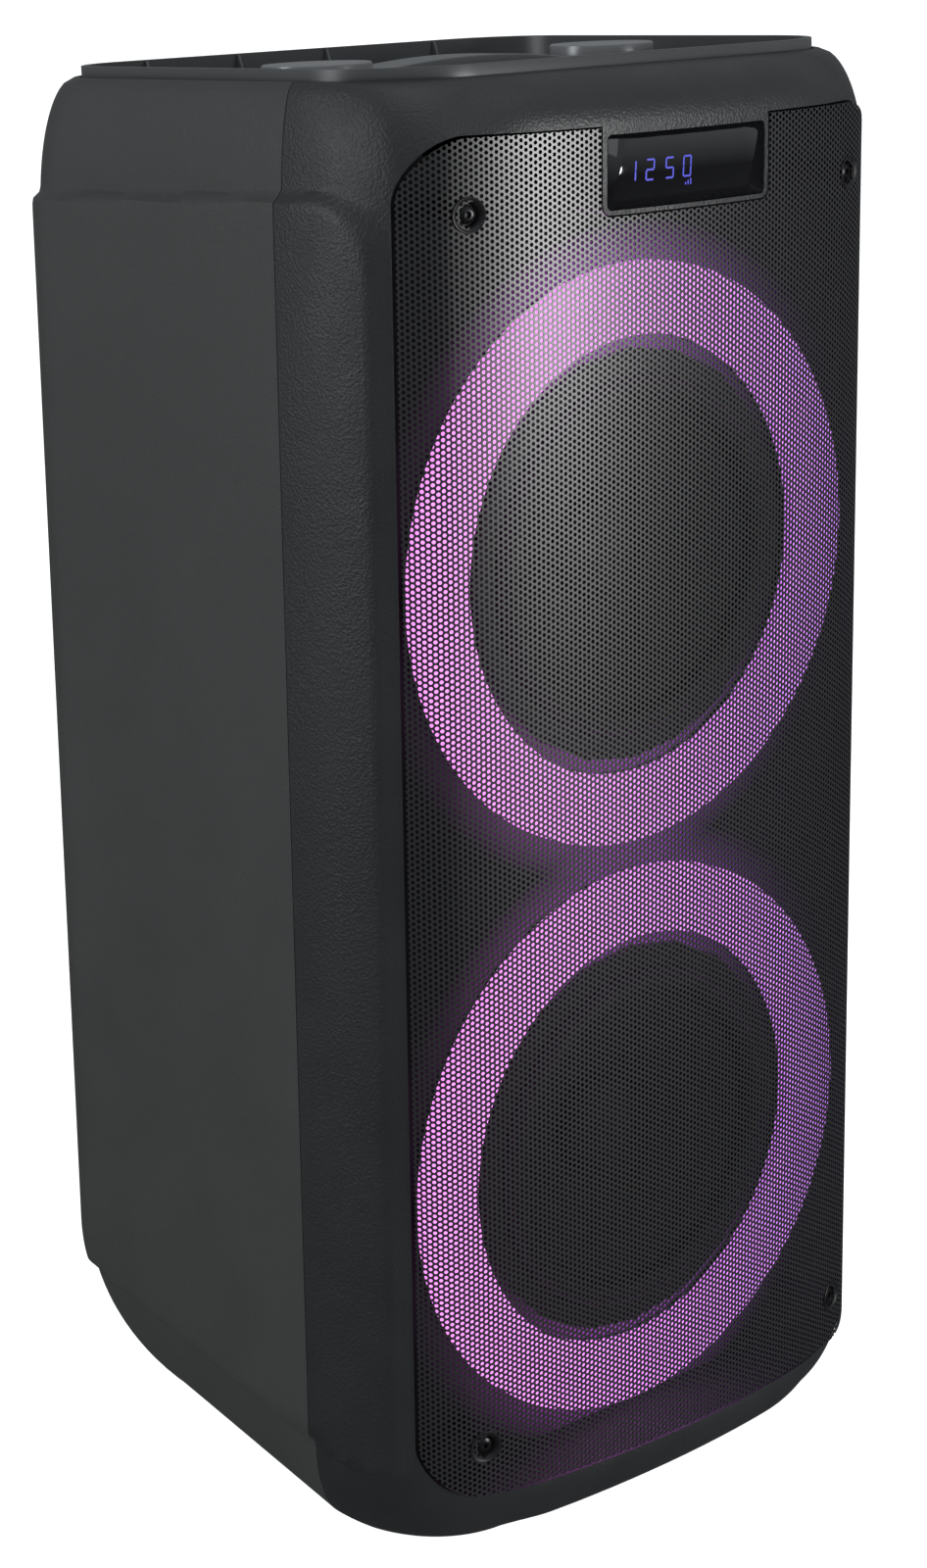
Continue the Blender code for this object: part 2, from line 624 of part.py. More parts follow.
def panel_cut(panel, name, mesh, place, cabinet):
    combine(panel, helper("cut_" + name, mesh, cabinet, place))


def build_rear(cabinet, looks):
    """The rear panel with its fittings, and the bass port below it."""
    face, back = PANEL_FACE, PANEL_FACE - PANEL_THICK
    x0, x1, z0, z1 = PANEL
    outline = rounded(x0, x1, z0, z1, 7.7)
    panel = piece("rear_panel", prism(outline, back, face, "y"), looks["panel"], cabinet)
    inset = LEDGE / 2
    head = [(0, face - 5), (1.4, face - 5), (1.4, face + 0.1), (2.9, face + 0.1), (2.9, face + 0.8), (0, face + 1.2)]
    number = 0
    for x in (x0 + inset, x1 - inset):
        for z in (z0 + inset, z1 - inset):
            number += 1
            bore = helper(f"panel_bore_{number}", disc(1.9, HOLE_FROM, HOLE_TO, 8, "y"), cabinet, (x, 0, z))
            combine(panel, bore)
            combine(bpy.data.objects["rear_shell"], bore)
            piece(f"panel_screw_{number}", turned(head, 10), looks["screw"], cabinet, (x, 0, z))

    def fitting(name, mesh, hole, look, place):
        panel_cut(panel, name, hole, place, cabinet)
        return piece(name, mesh, look, cabinet, place)

    def flanged(half_x, half_z, flange, depth):
        """A rectangular body with a flange that lies on the panel."""
        mesh = box(-half_x, half_x, face - depth, face + 0.7, -half_z, half_z)
        rim = box(-half_x - flange, half_x + flange, face + GAP, face + 1.2, -half_z - flange, half_z + flange)
        return mesh, rim

    inlet_place = (58, 0, 530)
    mesh, rim = flanged(14, 10.5, 4, 24)
    inlet = fitting("mains_inlet", mesh, box(-14.4, 14.4, HOLE_FROM, HOLE_TO, -10.9, 10.9), looks["fitting"], inlet_place)
    combine(inlet, helper("inlet_rim", rim, cabinet, inlet_place), "UNION")
    hollow = prism(rounded(-12, 12, -8.2, 8.2, 3.0, 3), face - 17, face + 10, "y")
    combine(inlet, helper("inlet_hollow", hollow, cabinet, inlet_place))
    pins = [box(x - 1, x + 1, face - 20, face - 3, z - 2, z + 2) for x, z in ((-7, -1), (0, 3), (7, -1))]
    combine(inlet, helper("inlet_pins", join(*pins), cabinet, inlet_place), "UNION")

    rocker_place = (58, 0, 600)
    panel_cut(panel, "rocker", box(-10.5, 10.5, HOLE_FROM, HOLE_TO, -15, 15), rocker_place, cabinet)
    side_view = [(-9.5, -13.6), (-9.5, 13.6), (-0.4, 13.6), (1.0, 12.4), (-0.4, 0), (1.0, -12.4), (-0.4, -13.6)]
    rocker = prism(side_view, -9.9, 9.9, "x")
    pivot = (rocker_place[0], face - 1.2, rocker_place[2])
    piece("power_rocker", rocker, looks["rocker"], cabinet, pivot, (-ROCKER_TILT, 0, 0))

    jack = [(3.25, face - 20), (9.0, face - 20), (9.0, face + GAP), (11.5, face + GAP), (11.5, face + 1.2)]
    jack += [(3.25, face + 1.2)]
    for number, x in ((1, -62), (2, -28)):
        hole = disc(9.6, HOLE_FROM, HOLE_TO, 16, "y")
        fitting(f"jack_socket_{number}", turned(jack, 16), hole, looks["fitting"], (x, 0, 530))
    usb_place = (-62, 0, 600)
    mesh, rim = flanged(8.0, 4.2, 2, 14)
    usb = fitting("usb_socket", mesh, box(-8.4, 8.4, HOLE_FROM, HOLE_TO, -4.6, 4.6), looks["metal"], usb_place)
    combine(usb, helper("usb_rim", rim, cabinet, usb_place), "UNION")
    slot = box(-6.4, 6.4, face - 12, face + 10, -2.5, 2.5)
    combine(usb, helper("usb_slot", slot, cabinet, usb_place))
    aux = [(1.8, face - 14), (4.2, face - 14), (4.2, face + GAP), (5.6, face + GAP), (5.6, face + 1.2)]
    aux += [(1.8, face + 1.2)]
    fitting("aux_socket", turned(aux, 12), disc(4.8, HOLE_FROM, HOLE_TO, 12, "y"), looks["fitting"], (-28, 0, 600))

    port = [(PORT_BORE, 200), (36.5, 200), (36.5, 321.5), (44, 321.5), (44, 322.6), (39, 323.4)]
    port += [(35.5, 320.5), (PORT_BORE, 314)]
    piece("port_tube", turned(port, 20), looks["panel"], cabinet, (0, 0, PORT_HEIGHT))


def build_inside(cabinet, looks):
    """Amplifier with heat sink, power supply and battery."""
    piece("amplifier_board", box(-70, 30, 268, 269.6, 490, 640), looks["circuit"], cabinet)
    sink = piece("heat_sink", box(-64, 24, 258, 267.7, 560, 630), looks["alloy"], cabinet)
    fins = [box(-64 + 11 * i + 3, -64 + 11 * i + 10, 240, 264.5, 540, 650) for i in range(8)]
    combine(sink, helper("fin_gaps", join(*fins), cabinet))
    piece("power_supply", box(-55, 55, 205, 255, 400, 470), looks["alloy"], cabinet)
    piece("battery_pack", box(-60, 60, 130, 200, 14, 74), looks["battery"], cabinet)
    foot = [(0, 0), (FOOT_RADIUS - 1, 0), (FOOT_RADIUS, 1.2), (FOOT_RADIUS, BOTTOM - GAP), (0, BOTTOM - GAP)]
    for end, (x, y) in FEET.items():
        for side, place in (("left", (-x, y, 0)), ("right", (x, y, 0))):
            piece(f"foot_{end}_{side}", turned(foot, 16, "z"), looks["rubber"], cabinet, place)


def make_looks():
    return {
        "frame": material("frame_plastic", (0.022, 0.023, 0.024), 0.5),
        "shell": material("shell_plastic", (0.027, 0.028, 0.028), 0.6),
        "tray": material("tray_plastic", (0.035, 0.036, 0.037), 0.45),
        "handle": material("handle_plastic", (0.06, 0.062, 0.062), 0.45),
        "grille": material("grille_paint", (0.03, 0.031, 0.032), 0.4, 0.3),
        "cup": material("cup_paint", (0.015, 0.015, 0.016), 0.4, 0.4),
        "screw": material("screw_steel", (0.02, 0.02, 0.02), 0.3, 0.8),
        "board": material("baffle_board", (0.01, 0.01, 0.01), 0.7),
        "light": material("light_diffuser", (0.85, 0.35, 0.95), 0.4, 0.0, 3.0),
        "circuit": material("circuit_board", (0.012, 0.05, 0.02), 0.5),
        "basket": material("basket_steel", (0.02, 0.02, 0.02), 0.5, 0.6),
        "rubber": material("soft_rubber", (0.013, 0.013, 0.013), 0.75),
        "cone": material("woofer_cone", (0.016, 0.016, 0.017), 0.65),
        "magnet": material("magnet_ferrite", (0.03, 0.03, 0.03), 0.55, 0.3),
        "lens": material("display_lens", (0.006, 0.006, 0.007), 0.05),
        "dial": material("dial_plastic", (0.2, 0.2, 0.2), 0.4),
        "button": material("button_plastic", (0.05, 0.05, 0.05), 0.5),
        "metal": material("socket_steel", (0.55, 0.55, 0.55), 0.35, 0.9),
        "panel": material("panel_plastic", (0.02, 0.02, 0.02), 0.55),
        "fitting": material("fitting_plastic", (0.012, 0.012, 0.012), 0.4),
        "rocker": material("rocker_plastic", (0.015, 0.015, 0.015), 0.3),
        "alloy": material("heat_sink_alloy", (0.45, 0.45, 0.45), 0.4, 0.9),
        "battery": material("battery_wrap", (0.02, 0.05, 0.12), 0.45),
    }


def main():
    clear_scene()
    looks = make_looks()
    cabinet = empty("cabinet", (0, -DEPTH / 2, 0))
    top_plane = empty("top_plane", (0, TOP_LINE, TOP), -math.atan(TOP_SLOPE), cabinet)
    build_cabinet(cabinet, top_plane, looks)
    build_grille(cabinet, looks)
    build_baffle(cabinet, looks)
    build_drivers(cabinet, looks)
    build_display(cabinet, looks)
    build_tray(top_plane, looks)
    build_handle(top_plane, looks)
    build_controls(top_plane, looks)
    build_rear(cabinet, looks)
    build_inside(cabinet, looks)


main()
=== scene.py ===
"""Party speaker: what each piece is made of and how it is finished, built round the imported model."""

import json
import math

import bmesh
import bpy
import numpy as np
from mathutils import Matrix, Vector


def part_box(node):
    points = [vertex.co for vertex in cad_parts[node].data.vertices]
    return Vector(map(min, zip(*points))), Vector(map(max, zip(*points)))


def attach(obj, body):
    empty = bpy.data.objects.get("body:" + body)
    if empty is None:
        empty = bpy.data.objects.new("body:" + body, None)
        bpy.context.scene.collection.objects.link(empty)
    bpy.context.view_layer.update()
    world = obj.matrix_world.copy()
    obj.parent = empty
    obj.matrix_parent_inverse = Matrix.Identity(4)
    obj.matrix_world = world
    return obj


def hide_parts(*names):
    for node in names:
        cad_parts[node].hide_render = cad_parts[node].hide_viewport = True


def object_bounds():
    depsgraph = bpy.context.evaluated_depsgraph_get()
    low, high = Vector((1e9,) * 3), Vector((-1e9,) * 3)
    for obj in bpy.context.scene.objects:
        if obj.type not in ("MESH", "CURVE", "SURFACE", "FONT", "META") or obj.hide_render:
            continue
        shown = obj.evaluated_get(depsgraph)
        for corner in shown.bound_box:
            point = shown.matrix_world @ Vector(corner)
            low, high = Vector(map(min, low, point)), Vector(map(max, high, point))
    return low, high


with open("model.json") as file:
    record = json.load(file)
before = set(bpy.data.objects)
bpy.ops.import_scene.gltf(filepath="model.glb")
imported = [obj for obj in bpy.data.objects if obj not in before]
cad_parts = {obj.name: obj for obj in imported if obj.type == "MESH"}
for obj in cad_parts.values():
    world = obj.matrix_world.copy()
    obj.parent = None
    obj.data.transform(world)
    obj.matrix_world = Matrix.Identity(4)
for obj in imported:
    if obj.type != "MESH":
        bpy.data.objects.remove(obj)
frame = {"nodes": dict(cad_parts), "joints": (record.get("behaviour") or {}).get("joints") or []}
packed_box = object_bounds()


# ---------------------------------------------------------------- Studio
# The speaker stands on a white sweep. A tall soft box stands at the front right, which the grille
# mirrors, another at the left, and a broad one hangs overhead. The camera looks from the front left.

camera_data = bpy.data.cameras.new("camera")
camera_data.lens = 73.72
camera_data.shift_x = -0.003
camera_data.shift_y = -0.069
camera = bpy.data.objects.new("camera", camera_data)
bpy.context.collection.objects.link(camera)
yaw, pitch, roll = math.radians(40.953), math.radians(14.711), math.radians(-0.829)
ahead = Vector((math.sin(yaw) * math.cos(pitch), math.cos(yaw) * math.cos(pitch), -math.sin(pitch)))
level = Vector((math.cos(yaw), -math.sin(yaw), 0))
upright = level.cross(ahead)
across = math.cos(roll) * level + math.sin(roll) * upright
upwards = math.cos(roll) * upright - math.sin(roll) * level
facing = Matrix((across, upwards, -ahead)).transposed().to_4x4()
camera.matrix_world = Matrix.Translation((-1.09067, -1.2516, 0.859)) @ facing
bpy.context.scene.camera = camera


def soft_box(name, place, target, width, height, power, tint=(1, 1, 1)):
    data = bpy.data.lights.new(name, "AREA")
    data.shape = "RECTANGLE"
    data.size, data.size_y = width, height
    data.energy = power
    data.color = tint
    light = bpy.data.objects.new(name, data)
    bpy.context.collection.objects.link(light)
    light.location = place
    light.rotation_euler = (Vector(target) - Vector(place)).to_track_quat("-Z", "Y").to_euler()


middle = (packed_box[0] + packed_box[1]) / 2
soft_box("softbox_right", (0.95, -2.45, 0.62), middle, 0.5, 0.8, 38)
soft_box("softbox_left", (-2.3, 0.9, 1.0), middle, 0.7, 1.9, 17, (0.93, 0.96, 1))
soft_box("softbox_top", (-0.4, -0.5, 2.6), middle, 2.0, 2.0, 9)
bpy.context.scene.view_settings.view_transform = "Standard"

world = bpy.data.worlds.new("studio")
bpy.context.scene.world = world
world.use_nodes = True
world_nodes, world_links = world.node_tree.nodes, world.node_tree.links
room = world_nodes["Background"]
room.inputs["Color"].default_value = (0.9, 0.95, 1, 1)
direction = world_nodes.new("ShaderNodeTexCoord")
split = world_nodes.new("ShaderNodeSeparateXYZ")
world_links.new(direction.outputs["Generated"], split.inputs[0])
height_of_view = world_nodes.new("ShaderNodeMapRange")
for key, value in {"From Min": -0.25, "From Max": 0.7, "To Min": 0.04, "To Max": 0.42}.items():
    height_of_view.inputs[key].default_value = value
world_links.new(split.outputs["Z"], height_of_view.inputs["Value"])
world_links.new(height_of_view.outputs[0], room.inputs["Strength"])
paper = world_nodes.new("ShaderNodeBackground")
paper.inputs["Color"].default_value = (1, 1, 1, 1)
paper.inputs["Strength"].default_value = 1.0
path = world_nodes.new("ShaderNodeLightPath")
either = world_nodes.new("ShaderNodeMixShader")
world_links.new(path.outputs["Is Camera Ray"], either.inputs[0])
world_links.new(room.outputs[0], either.inputs[1])
world_links.new(paper.outputs[0], either.inputs[2])
world_links.new(either.outputs[0], world_nodes["World Output"].inputs["Surface"])


class Signal:
    """One socket of a material's nodes. Arithmetic on it adds Math nodes."""

    def __init__(self, finish, socket):
        self.finish, self.socket = finish, socket

    def _math(self, operation, first, second):
        return self.finish.node("ShaderNodeMath", {"operation": operation}, {0: first, 1: second})

    def __add__(self, other):
        return self._math("ADD", self, other)

    def __radd__(self, other):
        return self._math("ADD", other, self)

    def __mul__(self, other):
        return self._math("MULTIPLY", self, other)

    def __rmul__(self, other):
        return self._math("MULTIPLY", other, self)

    def __truediv__(self, other):
        return self._math("DIVIDE", self, other)

    def __lt__(self, other):
        return self._math("LESS_THAN", self, other)


class Finish:
    """A material, its shader's plain values, and the nodes that vary over the surface."""

    def __init__(self, name, colour, roughness, **values):
        self.material = bpy.data.materials.new(name)
        self.material.use_nodes = True
        self.tree = self.material.node_tree
        self.shader = self.tree.nodes["Principled BSDF"]
        self.feed("Base Color", (*colour, 1))
        self.feed("Roughness", roughness)
        for key, value in values.items():
            self.feed(key.replace("_", " "), value)

    def feed(self, name, value, node=None):
        socket = (node or self.shader).inputs[name]
        if isinstance(value, Signal):
            self.tree.links.new(value.socket, socket)
        else:
            socket.default_value = value

    def node(self, kind, settings, inputs, output=0):
        made = self.tree.nodes.new(kind)
        for key, value in settings.items():
            setattr(made, key, value)
        for key, value in inputs.items():
            self.feed(key, value, made)
        return Signal(self, made.outputs[output])

    def place(self):
        return self.node("ShaderNodeTexCoord", {}, {}, "Object")

    def part(self, vector, axis):
        return self.node("ShaderNodeSeparateXYZ", {}, {0: vector}, axis)

    def noise(self, scale, detail=3.0, roughness=0.5, vector=None):
        inputs = {"Vector": vector or self.place(), "Scale": scale, "Detail": detail, "Roughness": roughness}
        return self.node("ShaderNodeTexNoise", {}, inputs)

    def cells(self, scale, feature="F1", output="Distance"):
        return self.node("ShaderNodeTexVoronoi", {"feature": feature}, {"Vector": self.place(), "Scale": scale}, output)

    def spread(self, value, low, high, to_low, to_high):
        """The value, moved from one range to another and held inside it."""
        inputs = {"Value": value, "From Min": low, "From Max": high, "To Min": to_low, "To Max": to_high}
        return self.node("ShaderNodeMapRange", {"clamp": True}, inputs)

    def mixed(self, share, first, second):
        """The first colour, with the second laid over it where the share is 1."""
        inputs = {"Factor": share, 6: first, 7: second}
        return self.node("ShaderNodeMix", {"data_type": "RGBA", "clamp_factor": True}, inputs, 2)

    def emboss(self, height, depth, strength=1.0):
        inputs = {"Height": height, "Distance": depth, "Strength": strength}
        self.feed("Normal", self.node("ShaderNodeBump", {}, inputs))

    def vary(self, colour, other, scale, low=0.35, high=0.65):
        """Soft clouds of a second colour in the moulding."""
        clouds = self.spread(self.noise(scale, 4), low, high, 0, 1)
        self.feed("Base Color", self.mixed(clouds, (*colour, 1), (*other, 1)))


sweep = Finish("sweep_paper", (0.85, 0.85, 0.85), 0.9, Emission_Color=(1, 1, 1, 1), Emission_Strength=0.95)
sweep_mesh = bmesh.new()
bmesh.ops.create_grid(sweep_mesh, x_segments=1, y_segments=1, size=40)
floor_data = bpy.data.meshes.new("floor")
sweep_mesh.to_mesh(floor_data)
sweep_mesh.free()
floor_data.materials.append(sweep.material)
floor = bpy.data.objects.new("floor", floor_data)
bpy.context.collection.objects.link(floor)
floor.visible_glossy = False


# ---------------------------------------------------------------- Front frame and rear shell
# Two thick ABS mouldings that meet at a seam behind the front corners. The front one has a leather
# grain, the rear box a fine spark texture, and both are black with a little grey in it.

MM = 0.001
front_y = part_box("grille")[0].y
FACET = math.radians(30)


def merged(node):
    """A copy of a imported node's mesh with its corners joined."""
    mesh = bmesh.new()
    mesh.from_mesh(frame["nodes"][node].data)
    bmesh.ops.remove_doubles(mesh, verts=mesh.verts, dist=0.01 * MM)
    return mesh


def fitted(name, mesh, finish, body="cabinet", stands_for=(), facet=FACET):
    """The finished object: smooth except at its edges, riding on its body."""
    data = bpy.data.meshes.new(name)
    mesh.to_mesh(data)
    mesh.free()
    data.materials.append(finish.material)
    data.shade_smooth()
    data.set_sharp_from_angle(angle=facet)
    made = bpy.data.objects.new(name, data)
    bpy.context.collection.objects.link(made)
    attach(made, body)
    if stands_for:
        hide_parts(*stands_for)
    return made


frame_moulding = Finish("frame_moulding", (0.013, 0.014, 0.0145), 0.42)
leather = frame_moulding.cells(760, "SMOOTH_F1") + 0.5 * frame_moulding.noise(1500, 2)
frame_moulding.emboss(leather, 0.4 * MM, 0.7)
frame_moulding.feed("Roughness", frame_moulding.spread(frame_moulding.noise(35, 5), 0.3, 0.7, 0.38, 0.5))
frame_moulding.vary((0.012, 0.013, 0.014), (0.014, 0.015, 0.016), 12)

shell_moulding = Finish("shell_moulding", (0.03, 0.031, 0.03), 0.5)
shell_moulding.emboss(shell_moulding.noise(900, 3), 0.35 * MM, 0.9)
shell_moulding.feed("Roughness", shell_moulding.spread(shell_moulding.noise(25, 5), 0.3, 0.7, 0.46, 0.58))
shell_moulding.vary((0.030, 0.031, 0.030), (0.032, 0.033, 0.032), 9)

HALF_WIDTH, DEPTH, SEAM, BOTTOM, TOP = 169.3, 323.7, 100.0, 8.5, 750.7
REAR_RADIUS, SIDE_START, BULGE = 32.0, 104.3, 5.0
BOW_HALF, BOW, BOW_STEEPEN, ROLL_RADIUS = 135.0, 14.8, 2.8, 39.0
ROLL_START = math.atan((2 * BOW + 6 * BOW_STEEPEN) / BOW_HALF)
ROLL_END = math.radians(64)
BOTTOM_PLAN = (147.1, 114.5, 40.4, 256.8, 57.7, 54.2)
TOP_PLAN = (159.7, 159.7, 34.3, 309.0, 58.3, 44.0)
FINE = 4


def ramp(value, low, high):
    share = np.clip((value - low) / (high - low), 0, 1)
    return share * share * (3 - 2 * share)


def curve(cx, cy, radius, start, end, steps):
    turns = np.radians(np.linspace(start, end, steps + 1))
    return list(zip(cx + radius * np.cos(turns), cy + radius * np.sin(turns)))


def straight(first, last, steps):
    return [tuple(np.array(first) + (np.array(last) - np.array(first)) * i / steps) for i in range(1, steps + 1)]


def widest():
    """Half of the cabinet's widest outline: bow, roll, blend to the side, side, rear corner, back."""
    bow = np.linspace(0, BOW_HALF, 7 * FINE + 1)
    points = [(x, BOW * (x / BOW_HALF) ** 2 + BOW_STEEPEN * (x / BOW_HALF) ** 6) for x in bow]
    edge = points[-1][1]
    for turn in np.linspace(ROLL_START, ROLL_END, 5 * FINE + 1)[1:]:
        across = BOW_HALF + ROLL_RADIUS * (math.sin(turn) - math.sin(ROLL_START))
        points.append((across, edge + ROLL_RADIUS * (math.cos(ROLL_START) - math.cos(turn))))
    x0, y0 = points[-1]
    y1 = min(y0 + (HALF_WIDTH - x0) * math.tan(ROLL_END), SIDE_START - 1)
    for t in np.linspace(0, 1, 4 * FINE + 1)[1:]:
        x = (1 - t) ** 2 * x0 + (1 - (1 - t) ** 2) * HALF_WIDTH
        points.append((x, (1 - t) ** 2 * y0 + 2 * t * (1 - t) * y1 + t * t * SIDE_START))
    points += straight(points[-1], (HALF_WIDTH, DEPTH - REAR_RADIUS), 30)
    points += curve(HALF_WIDTH - REAR_RADIUS, DEPTH - REAR_RADIUS, REAR_RADIUS, 0, 90, 5 * FINE)[1:]
    return np.array(points + straight(points[-1], (0, DEPTH), 24))


def end_outline(front_half, rear_half, front, rear, front_r, rear_r):
    """Half of the outline at the top or bottom, with as many points as the widest one."""
    inner = front_half - front_r
    points = [(x, front) for x in np.linspace(0, inner, 7 * FINE + 1)]
    points += curve(inner, front + front_r, front_r, -90, 0, 9 * FINE)[1:]
    points += straight(points[-1], (rear_half, rear - rear_r), 30)
    points += curve(rear_half - rear_r, rear - rear_r, rear_r, 0, 90, 5 * FINE)[1:]
    return np.array(points + straight(points[-1], (0, rear), 24))


def rounding(points, middle, corner, side, rear_side, rear):
    """Height of the rounding between the side and the end, at each point of the widest outline."""
    x, y = points.T
    front = middle + (corner - middle) * ramp(x, 90, 150)
    front = front + (side - front) * ramp(y, 30, 70)
    behind = side + (rear_side - side) * (y - SIDE_START) / (DEPTH - REAR_RADIUS - SIDE_START)
    made = np.where(y > SIDE_START, np.clip(behind, min(side, rear_side), max(side, rear_side)), front)
    return np.where(y > DEPTH - 1, rear, made)


def cabinet_rows():
    """Half outlines from bottom to top, as (x, y, z) arrays."""
    wide = widest()
    rows = []
    shares = np.linspace(0, 1, 25)
    for plan, heights, order in (
        (BOTTOM_PLAN, (36.0, 63.4, 44.8, 105.1, 100.0), shares[::-1]),
        (TOP_PLAN, (27.0, 52.0, 69.2, 69.2, 75.0), shares),
    ):
        end, height = end_outline(*plan), rounding(wide, *heights)
        ends = []
        for share in order:
            pull = 1 - math.sqrt(1 - 0.999 * share**2)
            flat = wide + (end - wide) * pull
            ceiling = TOP - 0.036 * (flat[:, 1] - 40)
            z = BOTTOM + height * (1 - share) if plan is BOTTOM_PLAN else ceiling - height * (1 - share)
            ends.append(np.column_stack([flat, z]))
        rows.append(ends)
    low, high = rows[0][-1], rows[1][0]
    levels = (0.006, 0.015, 0.03, 0.05, 0.1, 0.9, 0.93, 0.945, 0.96, 0.97, 0.98, 0.99)
    between = [low + (high - low) * share for share in levels]
    return rows[0] + between + rows[1]


def bulged(points):
    """The cabinet's points with the raised field of each side pushed out. Its corners are rounded."""
    x, y, z = points.T
    inner = y - 48 - 0.77 * np.maximum(np.abs(x) - 167, -8)
    upper = 696 - 0.068 * (y - 70) - z
    lower = z - 61 - 0.153 * (y - 102)
    reach = np.minimum(inner, np.minimum(upper, lower))
    for other, radius in ((upper, 28), (lower, 16)):
        near = (inner < radius) & (other < radius)
        corner = radius - np.hypot(radius - inner, radius - other)
        reach = np.where(near, np.minimum(reach, corner), reach)
    push = BULGE * ramp(reach, -4.8, 0.3) * ramp(np.abs(x), 120, 137)
    return np.column_stack([x + push, y, z])


def cabinet_skin():
    """The whole outer skin as one quilt of quads, closed at the bottom, in millimetres."""
    half = [bulged(row) for row in cabinet_rows()]
    rows = [np.vstack([row, row[-2:0:-1] * (-1, 1, 1)]) for row in half]
    around, up = len(rows[0]), len(rows) - 1
    mesh = bmesh.new()
    bmesh.ops.create_grid(mesh, x_segments=around, y_segments=up, size=1)
    for vert in mesh.verts:
        i, j = round((vert.co.x + 1) / 2 * around), round((vert.co.y + 1) / 2 * up)
        vert.co = rows[j][i % around]
    bmesh.ops.remove_doubles(mesh, verts=mesh.verts, dist=0.001)
    ends = [edge for edge in mesh.edges if edge.is_boundary]
    for low in (True, False):
        ring = [edge for edge in ends if (edge.verts[0].co.z < 100) == low]
        bmesh.ops.contextual_create(mesh, geom=ring)
    top = [face for face in mesh.faces if len(face.verts) > 4 and face.calc_center_median().z > 100]
    bmesh.ops.inset_region(mesh, faces=top, thickness=2.6, use_even_offset=True)
    bmesh.ops.recalc_face_normals(mesh, faces=mesh.faces)
    return mesh


def outline_cuts(x0, x1, z0, z1, radius, steps):
    """Straight cuts round a rectangle with round corners: a point on each, its direction, its reach."""
    cx, cz, half, tall = (x0 + x1) / 2, (z0 + z1) / 2, (x1 - x0) / 2, (z1 - z0) / 2
    cuts = [((x0, cz), (-1, 0), tall), ((x1, cz), (1, 0), tall), ((cx, z0), (0, -1), half), ((cx, z1), (0, 1), half)]
    for side in (-1, 1):
        for end in (-1, 1):
            for step in range(steps):
                turn = math.radians(90 * (step + 0.5) / steps)
                direction = (side * math.cos(turn), end * math.sin(turn))
                corner_x, corner_z = cx + side * (half - radius), cz + end * (tall - radius)
                place = (corner_x + radius * direction[0], corner_z + radius * direction[1])
                cuts.append((place, direction, radius * 1.7 / steps))
    return cuts


def past(x, z, x0, x1, z0, z1, radius):
    """How far a place is outside that rectangle, below zero inside it."""
    dx = abs(x - (x0 + x1) / 2) - (x1 - x0) / 2 + radius
    dz = abs(z - (z0 + z1) / 2) - (z1 - z0) / 2 + radius
    return math.hypot(max(dx, 0), max(dz, 0)) + min(max(dx, dz), 0) - radius


def score(mesh, cuts, margin, near_outline, facing=None):
    """Divides the faces that cross an outline along its cuts, each as far as the cut reaches."""
    mesh.normal_update()
    crossing = set()
    for face in mesh.faces:
        if facing is None or facing * face.normal.y > 0.2:
            sides = [near_outline(vert.co.x, vert.co.z) for vert in face.verts]
            longest = max(edge.calc_length() for edge in face.edges)
            if min(sides) < margin + longest and max(sides) > -margin:
                crossing.add(face)
    for (x, z), (dx, dz), reach in cuts:
        near = set()
        for face in crossing:
            spans = [((v.co.x - x) * dx + (v.co.z - z) * dz, (v.co.x - x) * dz - (v.co.z - z) * dx) for v in face.verts]
            across = [span[0] for span in spans]
            along = [span[1] for span in spans]
            if min(across) < 0 < max(across) and min(along) < reach + margin and max(along) > -reach - margin:
                near.add(face)
        if near:
            crossing -= near
            cut = {item for face in near for item in (face, *face.edges, *face.verts)}
            cut = bmesh.ops.bisect_plane(mesh, geom=list(cut), plane_co=(x, 0, z), plane_no=(dx, 0, dz))["geom"]
            crossing |= {item for item in cut if isinstance(item, bmesh.types.BMFace)}


def opening(mesh, cuts, outline, facing, depth, ease=0.6):
    """Cuts a hole through one side of the skin, turns its edge in to that depth and eases the corner."""
    score(mesh, cuts, 0.5, outline, facing)
    mesh.normal_update()
    gone = []
    for face in mesh.faces:
        centre = face.calc_center_median()
        if facing * face.normal.y > 0.2 and outline(centre.x, centre.z) < 0:
            gone.append(face)
    before = {edge for edge in mesh.edges if edge.is_boundary}
    bmesh.ops.delete(mesh, geom=gone, context="FACES")
    edge = [edge for edge in mesh.edges if edge.is_boundary and edge not in before]
    turned_in = bmesh.ops.extrude_edge_only(mesh, edges=edge)["geom"]
    for vert in turned_in:
        if isinstance(vert, bmesh.types.BMVert):
            vert.co.y = depth
    bmesh.ops.bevel(
        mesh, geom=edge, offset=ease, segments=2, profile=0.5, affect="EDGES", material=-1, clamp_overlap=True
    )


GRILLE_GAP, WINDOW_GAP, PANEL_GAP, PORT_GAP = 0.9, 0.3, 0.3, 0.4
GRILLE_TURN, WINDOW_TURN, REAR_TURN = 48, 8, 318  # depths that the openings' edges are turned in to
grille_low, grille_high = (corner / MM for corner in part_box("grille"))
lens_low, lens_high = (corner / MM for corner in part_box("display_lens"))
tongue_half, tongue_foot = lens_high.x + 3.8, lens_low.z - 3.3
grille_sheet_outline = (grille_low.x, grille_high.x, grille_low.z, grille_high.z, 30.0)
tongue_outline = (-tongue_half, tongue_half, tongue_foot, tongue_foot + 90, 6.0)


def grown(outline, grow):
    x0, x1, z0, z1, radius = outline
    return x0 - grow, x1 + grow, z0 - grow, z1 + grow, radius + grow


def grille_cuts(grow):
    return outline_cuts(*grown(grille_sheet_outline, grow), 10) + outline_cuts(*grown(tongue_outline, -grow), 4)


